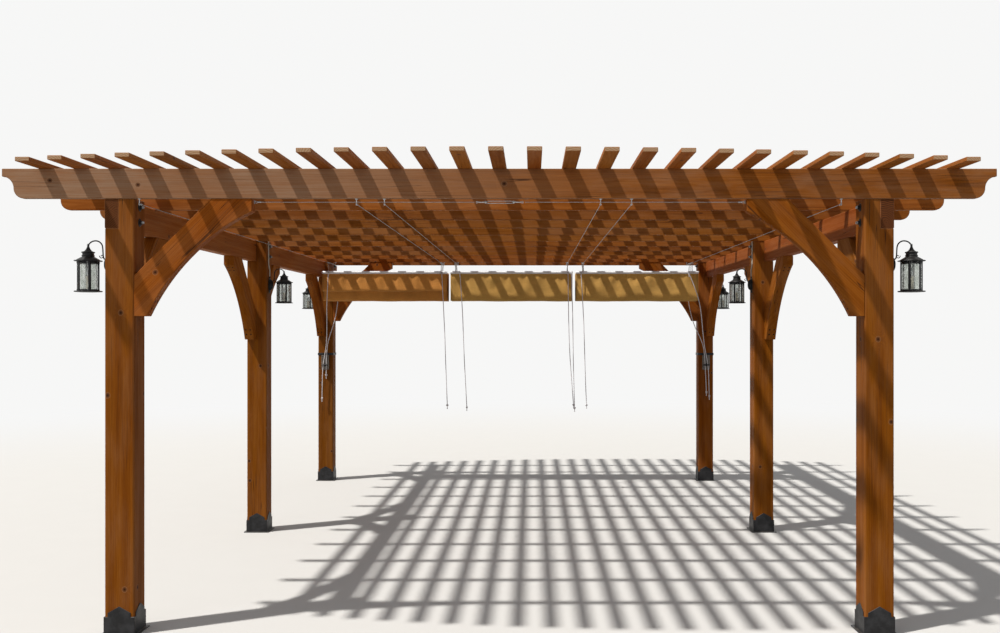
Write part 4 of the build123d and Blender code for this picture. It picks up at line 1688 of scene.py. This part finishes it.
@dataclass
class WireFittings:
    """The screw eyes, pressed sleeves, brace anchors and turnbuckle of the steel wires."""

    first_eye: float = SIZES.first_beam
    last_eye: float = SIZES.first_beam + 10 * SIZES.beam_pitch
    tie_y: float = -3.637
    tie_z: float = 2.804
    nose: float = 1.5995
    pressed: Profile = ((0.0026, 0.0), (0.0046, 0.0012), (0.005, 0.004), (0.005, 0.012), (0.0043, 0.0135),
                        (0.0043, 0.0165), (0.005, 0.018), (0.005, 0.026), (0.0046, 0.0288), (0.0026, 0.03))
    washer: Profile = ((0.012, 0.0), (0.012, 0.0024), (0.0055, 0.0024), (0.0065, 0.005))
    boss: Profile = ((0.0048, 0.082), (0.0075, 0.085), (0.0085, 0.09), (0.0075, 0.097), (0.0042, 0.1))
    thread: float = 0.0025

    def sleeve(self, start: float) -> Thing:
        """Return a pressed sleeve that lies along +Y.

        Args:
            start: Where it starts.

        Returns:
            The sleeve.
        """
        sleeve = Bench.turned("sleeve", self.pressed, 16)
        sleeve.data.transform(Matrix.Scale(0.78, 4, (1, 0, 0)))
        Bench.moved(sleeve, at((0, start, 0), -90, "X"))
        return Bench.soften(sleeve, 0.0004)

    def screw_eye(self) -> Thing:
        """Return an eye under a beam with the wire's thimble and sleeve towards +Y."""
        rise = SIZES.beam - SIZES.wire_z
        ring = Bench.moved(Bench.ring("ring", 0.0078, 0.0023), at((0, 0, 0), 90, "Y"))
        profile = ((0.0023, 0.0078), (0.0032, 0.010), (0.0032, rise - 0.006), (0.0085, rise - 0.0045),
                   (0.0105, rise - 0.0015), (0.0105, rise))
        shank = Bench.soften(Bench.turned("shank", profile, 16), 0.0003)
        thimble = Bench.ring("thimble", 0.0062, 0.0019)
        Bench.moved(thimble, at((0, 0.0096, 0)) @ Matrix.Scale(1.35, 4, (0, 1, 0)))
        return Bench.joined("screw_eye", [ring, shank, thimble, self.sleeve(0.012)])

    def anchor(self) -> Thing:
        """Return the washer, eye nut and sleeve on the nose of a brace, with the wire towards -X."""
        washer = Bench.turned("washer", self.washer, 24)
        Bench.soften(Bench.moved(washer, at((self.nose, 0, 0), -90, "Y")), 0.0003)
        ring = Bench.moved(Bench.ring("ring", 0.0062, 0.0021), at((self.nose - 0.0125, 0, 0), 90, "X"))
        sleeve = Bench.moved(self.sleeve(0.0), at((self.nose - 0.016, 0, 0), 90, "Z"))
        return Bench.joined("anchor", [washer, ring, sleeve])

    def turnbuckle(self) -> Thing:
        """Return the open tightener: two bars, two threaded bosses, two screws and their eyes."""
        parts = []
        for high in (-1, 1):
            line = ((-0.095, 0.0), (-0.085, 0.0068), (-0.07, 0.0072), (0.07, 0.0072), (0.085, 0.0068),
                    (0.095, 0.0))
            parts.append(Bench.rod("bar", [(x, 0, high * z) for x, z in line], 0.0024))
        for way in (-1, 1):
            ribs = list(self.boss)
            for step in range(15):
                ribs += [(0.0036, 0.101 + step * self.thread), (0.0042, 0.1022 + step * self.thread)]
            ribs.append((0.0036, 0.142))
            boss = Bench.turned("boss", ribs, 14)
            parts.append(Bench.soften(Bench.moved(boss, at((0, 0, 0), way * 90, "Y")), 0.0002))
            parts.append(Bench.moved(Bench.ring("ring", 0.0058, 0.002), at((way * 0.148, 0, 0), 90, "X")))
        return Bench.joined("turnbuckle", parts)

    def build(self, wires: Sequence[float], finishes: Finishes) -> None:
        """Set every fitting at the ends of its wire.

        Args:
            wires: Where the guide wires run.
            finishes: All the materials.
        """
        master = self.screw_eye()
        eyes = []
        for x in wires:
            for y, turn in ((self.first_eye, 0), (self.last_eye, 180)):
                eyes.append(Bench.copied(master, "eye", at((x, y, SIZES.wire_z), turn)))
        Bench.dropped(master)
        deliver("wire_eyes", eyes, finishes.zinc, "wire_fittings")
        first = self.anchor()
        other = Bench.copied(first, "anchor", Matrix.Rotation(math.pi, 4, "Z"))
        tie = Bench.joined("tie_fittings", [first, other, self.turnbuckle()])
        Bench.moved(tie, Matrix.Translation((0, self.tie_y, self.tie_z)))
        carry(Bench.finish(tie, finishes.zinc), ["wire_fittings"])


@dataclass
class PostBolts:
    """The through bolts of the post tops: washers, hex nuts, threaded ends and domed heads."""

    spacing: float = 0.1
    thread: float = 0.00125
    washer: Profile = ((0.027, 0.0), (0.027, 0.0028), (0.0256, 0.004), (0.013, 0.004), (0.012, 0.0034))
    hexagon: Profile = ((0.0132, 0.004), (0.015, 0.0054), (0.015, 0.0156), (0.0132, 0.017))
    head: Profile = ((0.018, 0.0036), (0.019, 0.0048), (0.0185, 0.007), (0.0162, 0.0098), (0.0122, 0.0118),
                     (0.0068, 0.0128), (0.0018, 0.013))

    def plate(self) -> Thing:
        """Return a washer with a rolled edge."""
        return Bench.soften(Bench.turned("washer", self.washer, 32), 0.0003)

    def nut(self) -> Thing:
        """Return a hex nut with its corners turned off."""
        nut = Bench.press(Bench.turned("nut", self.hexagon, 6), (0, 0, 1), 0.0042, -0.0012)
        return Bench.soften(nut, 0.0005)

    def stud(self) -> Thing:
        """Return the threaded end that stands out of the nut."""
        rings = []
        height = 0.0155
        while height < 0.0285:
            rings += [(0.0072, height), (0.008, height + self.thread / 2)]
            height += self.thread
        rings += [(0.0072, height), (0.0062, 0.030)]
        return Bench.soften(Bench.turned("stud", rings, 18), 0.0001, angle=20.0)

    def build(self, finishes: Finishes) -> None:
        """Set two bolts through the top of every post.

        Args:
            finishes: All the materials.
        """
        inner = Bench.joined("inner", [self.plate(), self.nut()])
        outer = Bench.joined("outer", [self.plate(), Bench.smooth(Bench.turned("dome", self.head, 32))])
        stud = self.stud()
        black, bright = [], []
        middle = SIZES.beam - SIZES.beam_half
        for row in range(len(ROWS)):
            y = SIZES.post_middle(row)
            for side in SIDES.values():
                for z in (middle - self.spacing / 2, middle + self.spacing / 2):
                    spin = Matrix.Rotation(row * 0.9 + z * 40, 4, "Z")
                    into = at((side * SIZES.inner, y, z), -side * 90, "Y") @ spin
                    black.append(Bench.copied(inner, "nut", into))
                    black.append(Bench.copied(outer, "head", at((side * SIZES.outer, y, z), side * 90, "Y")))
                    bright.append(Bench.copied(stud, "stud", into))
        Bench.dropped(inner, outer, stud)
        deliver("bolt_heads", black, finishes.bolt_iron, "bolts")
        deliver("bolt_studs", bright, finishes.zinc, "bolts")


@dataclass
class Lantern:
    """A six sided wall lantern: canopy, arched arm, capped roof, angle bars and wide brims."""

    radius: float = 0.074
    brim: float = 0.015
    brim_thick: float = 0.010
    glass: float = 0.19
    reach: float = 0.146
    canopy_z: float = 0.182
    screw_out: float = 0.071
    foot: Profile = ((0.006, -0.0004), (0.03, 0.0), (0.03, 0.004))
    cap: Profile = ((0.046, 0.019), (0.0395, 0.022), (0.0395, 0.027), (0.0415, 0.029), (0.0415, 0.032),
                    (0.037, 0.034), (0.037, 0.046), (0.043, 0.0485), (0.043, 0.053), (0.039, 0.056))
    spire: Profile = ((0.034, 0.055), (0.022, 0.062), (0.0135, 0.073), (0.0085, 0.084), (0.0062, 0.0905),
                      (0.0085, 0.0925), (0.0085, 0.0955), (0.0055, 0.0985))
    plate: Profile = ((0.0435, 0.0), (0.0435, 0.0045), (0.0405, 0.008), (0.034, 0.008), (0.032, 0.0066))
    boss: Profile = ((0.029, 0.004), (0.029, 0.011), (0.0272, 0.020), (0.0225, 0.030), (0.0145, 0.0375),
                     (0.005, 0.040))
    screw: Profile = ((0.0052, 0.006), (0.005, 0.0085), (0.003, 0.0102), (0.001, 0.0106))

    def eaves(self) -> float:
        """Return the height of the roof's lower edge."""
        return 2 * self.brim_thick + self.glass

    def slab(self, name: str, low: float) -> Thing:
        """Return a wide brim with a hollow underside lip.

        Args:
            name: The brim's name.
            low: The height of its underside.

        Returns:
            The brim.
        """
        rim = self.radius + self.brim
        profile = ((self.radius - 0.004, low), (rim - 0.003, low + 0.0012), (rim, low + 0.004),
                   (rim, low + 0.0075), (rim - 0.004, low + self.brim_thick))
        return Bench.soften(Bench.turned(name, profile, 6), 0.0011)

    def bars(self) -> list[Thing]:
        """Return the six corner bars, each folded from strip to the corner's angle."""
        made = []
        middle = self.brim_thick + self.glass / 2
        for count in range(6):
            pair = []
            for way in (-1, 1):
                bar = Bench.bar("flange", (0.0022, 0.0098, self.glass + 0.004), (0, way * 0.0047, 0))
                Bench.press(bar, (1, 0, 0), 0.0016, 0.0007)
                Bench.moved(bar, at((0, 0, 0), way * 30))
                pair.append(Bench.soften(bar, 0.0004))
            place = at((0, 0, 0), 60 * count) @ at((self.radius - 0.0014, 0, middle))
            made.append(Bench.moved(Bench.joined("bar", pair), place))
        return made

    def bands(self) -> list[Thing]:
        """Return the bands that the glass stands in, below and above."""
        side = self.radius - 0.0045
        low, high = self.brim_thick, self.brim_thick + self.glass
        made = []
        for start, end in ((low, low + 0.009), (high - 0.013, high)):
            band = Bench.turned("band", ((side, start), (side, end)), 6)
            made.append(Bench.soften(Bench.walled(band, 0.003, 0.0), 0.0006))
        return made

    def roof(self) -> list[Thing]:
        """Return the sloped roof with its drum and collar, and the peak on it."""
        low = self.eaves()
        slope = [(self.radius, low - 0.001), (self.radius - 0.001, low + 0.003)]
        slope += [(radius, low + height) for radius, height in self.cap]
        roof = Bench.soften(Bench.turned("roof", slope, 6), 0.0009)
        peak = Bench.turned("peak", [(radius, low + height) for radius, height in self.spire], 12)
        return [roof, Bench.smooth(peak, 50)]

    def canopy(self) -> list[Thing]:
        """Return the long eight sided wall plate, its domed boss and two fixing screws."""
        plate = Bench.moved(Bench.turned("plate", self.plate, 8), at((0, 0, 0), 22.5))
        plate.data.transform(Matrix.Scale(1.96, 4, (1, 0, 0)))
        Bench.soften(plate, 0.0008)
        boss = Bench.turned("boss", self.boss, 28)
        boss.data.transform(Matrix.Scale(1.9, 4, (1, 0, 0)))
        made = [plate, Bench.smooth(boss, 40)]
        for high in (-self.screw_out, self.screw_out):
            made.append(Bench.moved(Bench.turned("screw", self.screw, 14), at((high, 0, 0))))
        return [Bench.moved(piece, at((0, 0, self.canopy_z), 90, "Y")) for piece in made]

    def arm(self) -> list[Thing]:
        """Return the arched arm from the canopy to the peak, with its ring and collar."""
        peak, crown = self.eaves() + 0.098, self.eaves() + 0.126
        half = (self.reach - 0.056) / 2
        line = [(0.018, 0.212), (0.036, 0.213), (0.046, 0.222), (0.049, 0.245), (0.05, crown - half)]
        for step in range(1, 7):
            turn = math.pi * step / 7
            fall = half if step < 4 else 0.034
            across = 0.05 + half * 1.05 * (1 - math.cos(turn))
            line.append((across, crown - fall * (1 - 1.05 * math.sin(turn))))
        line += [(self.reach, peak - 0.002), (self.reach, peak - 0.012)]
        scroll = []
        for step in range(12):
            turn = math.radians(34 * step)
            size = 0.0032 + 0.0011 * step
            scroll.append((0.058 + size * math.cos(turn), 0.2355 + size * math.sin(turn)))
        arm = Bench.rod("arm", [(x, 0, z) for x, z in line], 0.0045)
        curl = Bench.rod("curl", [(x, 0, z) for x, z in scroll], 0.0026)
        collar = Bench.moved(Bench.ring("collar", 0.0056, 0.0025), at((self.reach, 0, peak + 0.006)))
        return [arm, curl, collar]

    def build(self) -> Thing:
        """Return the whole metalwork, with the wall at X = 0 and the bottom at Z = 0."""
        body = [self.slab("floor", 0.0), self.slab("eaves", self.brim_thick + self.glass)]
        body += self.bars() + self.bands() + self.roof()
        whole = Bench.joined("hood", body + [Bench.turned("foot", self.foot, 18)])
        Bench.moved(whole, at((self.reach, 0, 0)))
        return Bench.joined("lantern", [whole] + self.canopy() + self.arm())


@dataclass
class Candle:
    """The candle sleeve in a lantern with its drip ring, lamp and socket."""

    radius: float = 0.013
    top: float = 0.106
    foot: float = 0.01
    drip: float = 0.009
    flame: Profile = ((0.0062, 0.0), (0.0062, 0.006), (0.0085, 0.012), (0.0105, 0.022), (0.0092, 0.033),
                      (0.0052, 0.045), (0.0014, 0.055))
    dish: Profile = ((0.016, 0.0), (0.024, 0.003), (0.0255, 0.006), (0.023, 0.0055), (0.0135, 0.003))

    def sleeve(self) -> Thing:
        """Return the sleeve with wax run over its top edge."""
        wide, top = self.radius, self.top
        profile = ((wide, self.foot), (wide, self.foot + 0.03), (wide, top - 0.02),
                   (wide + 0.0012, top - self.drip), (wide + 0.0007, top - 0.002), (wide - 0.003, top),
                   (wide - 0.006, top - 0.002))
        sleeve = Bench.turned("sleeve", profile, 22)
        for vertex in sleeve.data.vertices:
            if abs(vertex.co.z - (top - self.drip)) < 0.001:
                round_it = math.atan2(vertex.co.y, vertex.co.x)
                vertex.co.z -= 0.008 * (0.5 + 0.5 * math.sin(3 * round_it + 1.1)) ** 3
        return Bench.smooth(sleeve, 45)

    def lamp(self) -> Thing:
        """Return the flame shaped lamp above the sleeve."""
        low = self.top - 0.002
        return Bench.smooth(Bench.turned("lamp", [(wide, low + high) for wide, high in self.flame], 16))

    def saucer(self) -> Thing:
        """Return the black drip ring that the sleeve stands in."""
        profile = [(wide, self.foot + high) for wide, high in self.dish]
        return Bench.soften(Bench.turned("saucer", profile, 24), 0.0004)


@dataclass
class LanternSet:
    """The six lanterns: outside on the front and back posts, inside on the middle ones."""

    inside_row: int = 1

    def places(self, row: int) -> list[Matrix]:
        """Return where the two lanterns of a row hang.

        Args:
            row: The row of posts, 0 at the front.

        Returns:
            The place of each.
        """
        made = []
        inward = row == self.inside_row
        for side in SIDES.values():
            x = side * (SIZES.inner if inward else SIZES.outer)
            turn = 0 if (side > 0) != inward else 180
            made.append(at((x, SIZES.post_middle(row), SIZES.lantern_low), turn))
        return made

    def build(self, finishes: Finishes) -> None:
        """Hang all the lanterns and stand their candles.

        Args:
            finishes: All the materials.
        """
        lantern, candle = Lantern(), Candle()
        inside = at((lantern.reach, 0, 0))
        metal = Bench.finish(lantern.build(), finishes.lantern_iron)
        sleeve = Bench.finish(Bench.moved(candle.sleeve(), inside), finishes.wax)
        lamp = Bench.finish(Bench.moved(candle.lamp(), inside), finishes.lamp)
        saucer = Bench.finish(Bench.moved(candle.saucer(), inside), finishes.lantern_iron)
        sleeves, lamps = [], []
        for row, name in enumerate(ROWS):
            pair = []
            for place in self.places(row):
                pair += [Bench.copied(metal, "lantern", place), Bench.copied(saucer, "saucer", place)]
                sleeves.append(Bench.copied(sleeve, "sleeve", place))
                lamps.append(Bench.copied(lamp, "lamp", place))
            carry(Bench.joined("lantern_metal_" + name, pair), ["lanterns_" + name])
        carry(Bench.joined("candle_sleeves", sleeves), ["lantern_candles"])
        carry(Bench.joined("candle_lamps", lamps), ["lantern_candles"])
        Bench.dropped(metal, sleeve, lamp, saucer)


@dataclass
class Cleats:
    """The bands, weathered blocks and iron horns on the back posts."""

    band_z: float = 1.635
    band_tall: float = 0.03
    block: Point = (0.092, 0.04, 0.185)
    horn_y: float = 2.941
    back: float = 3.001
    step: float = 0.005
    screw: Profile = ((0.0075, 0.0), (0.0072, 0.002), (0.0045, 0.0042), (0.001, 0.0048))
    half_arm: Profile = ((0.0045, -0.044), (0.0066, -0.042), (0.0074, -0.034), (0.0086, -0.016))
    stem: Profile = ((0.019, -0.0005), (0.019, 0.003), (0.0125, 0.0055), (0.0095, 0.011), (0.0088, 0.0252))

    def band(self, side: int) -> Thing:
        """Return the flat band round one post, with its two screws.

        Args:
            side: -1 for the left post and 1 for the right one.

        Returns:
            The band.
        """
        wide = SIZES.post_side + 0.01
        middle = side * (SIZES.outer - SIZES.post_side / 2)
        centre = (middle, SIZES.post_middle(2), self.band_z)
        band = Bench.walled(Bench.bar("band", (wide, wide, self.band_tall), centre), 0.005, -1.0)
        parts = [Bench.soften(band, 0.0015)]
        for along in (-0.06, 0.06):
            place = at((middle + along, self.back - self.step, self.band_z), 90, "X")
            parts.append(Bench.moved(Bench.turned("screw", self.screw, 14), place))
        return Bench.joined("band", parts)

    def backing(self, side: int) -> Thing:
        """Return the block behind the horn, its edges broken and its face stepped.

        Args:
            side: -1 for the left post and 1 for the right one.

        Returns:
            The block.
        """
        _, deep, tall = self.block
        centre = (side * SIZES.cleat_x, self.back - deep / 2, SIZES.cleat_z + tall / 2)
        block = Bench.press(Bench.bar("block", self.block, centre), (0, -1, 0), 0.011, -self.step)
        return Bench.soften(block, 0.003, 2)

    def horn(self, side: int) -> Thing:
        """Return the iron cleat: a foot, a stem and two tapered horns.

        Args:
            side: -1 for the left post and 1 for the right one.

        Returns:
            The cleat.
        """
        x, z = side * SIZES.cleat_x, SIZES.cleat_z + self.block[2] / 3
        other_arm = [(radius, -height) for radius, height in reversed(self.half_arm)]
        arms = Bench.turned("arms", [*self.half_arm, (0.0094, 0.0), *other_arm], 16)
        Bench.moved(arms, at((x, self.horn_y, z), 90, "Y"))
        face = self.back - self.block[1] + self.step
        stem = Bench.moved(Bench.turned("stem", self.stem, 20), at((x, face, z), 90, "X"))
        return Bench.joined("horn", [Bench.smooth(piece, 45) for piece in (arms, stem)])

    def build(self, finishes: Finishes) -> None:
        """Set both cleats with their bands and horns.

        Args:
            finishes: All the materials.
        """
        for name, make, finish in (
                ("cleat_bands", self.band, finishes.iron),
                ("cleat_blocks", self.backing, finishes.weathered_steel),
                ("cleat_horns", self.horn, finishes.bolt_iron)):
            deliver(name, [make(side) for side in SIDES.values()], finish, "cord_cleats")


def build_shades(finishes: Finishes) -> None:
    """Hang the three shades with their rails, hooks and wires' fittings.

    Args:
        finishes: All the materials.
    """
    wires = (-2.33, -0.925, -0.745, 0.655, 0.855, 2.212)
    eyes = ((-2.323, -0.912), (-0.687, 0.659, 0.7), (0.821, 2.164))
    cloths = (ShadeCloth("left", -2.405, -0.85, 0.214, 0.4), ShadeCloth("middle", -0.805, 0.715, 0.33, 1.9),
              ShadeCloth("right", 0.76, 2.285, 0.33, 3.7))
    for number, (cloth, row) in enumerate(zip(cloths, eyes), 1):
        cloth.build(finishes.canvas[cloth.side].material())
        ShadeRail(cloth.left, cloth.right, row).build(number, finishes)
    WireHook().build(wires, finishes)
    WireFittings().build(wires, finishes)


def main() -> None:
    """Build the whole scene in order."""
    logging.basicConfig(level=logging.INFO, format="%(message)s")
    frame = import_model()
    Studio().build()
    finishes = Finishes()
    finishes.dress_nodes(frame["nodes"])
    build_shades(finishes)
    LanternSet().build(finishes)
    PostBolts().build(finishes)
    Cleats().build(finishes)
    CordSet().build(finishes)


if __name__ == "__main__":
    main()
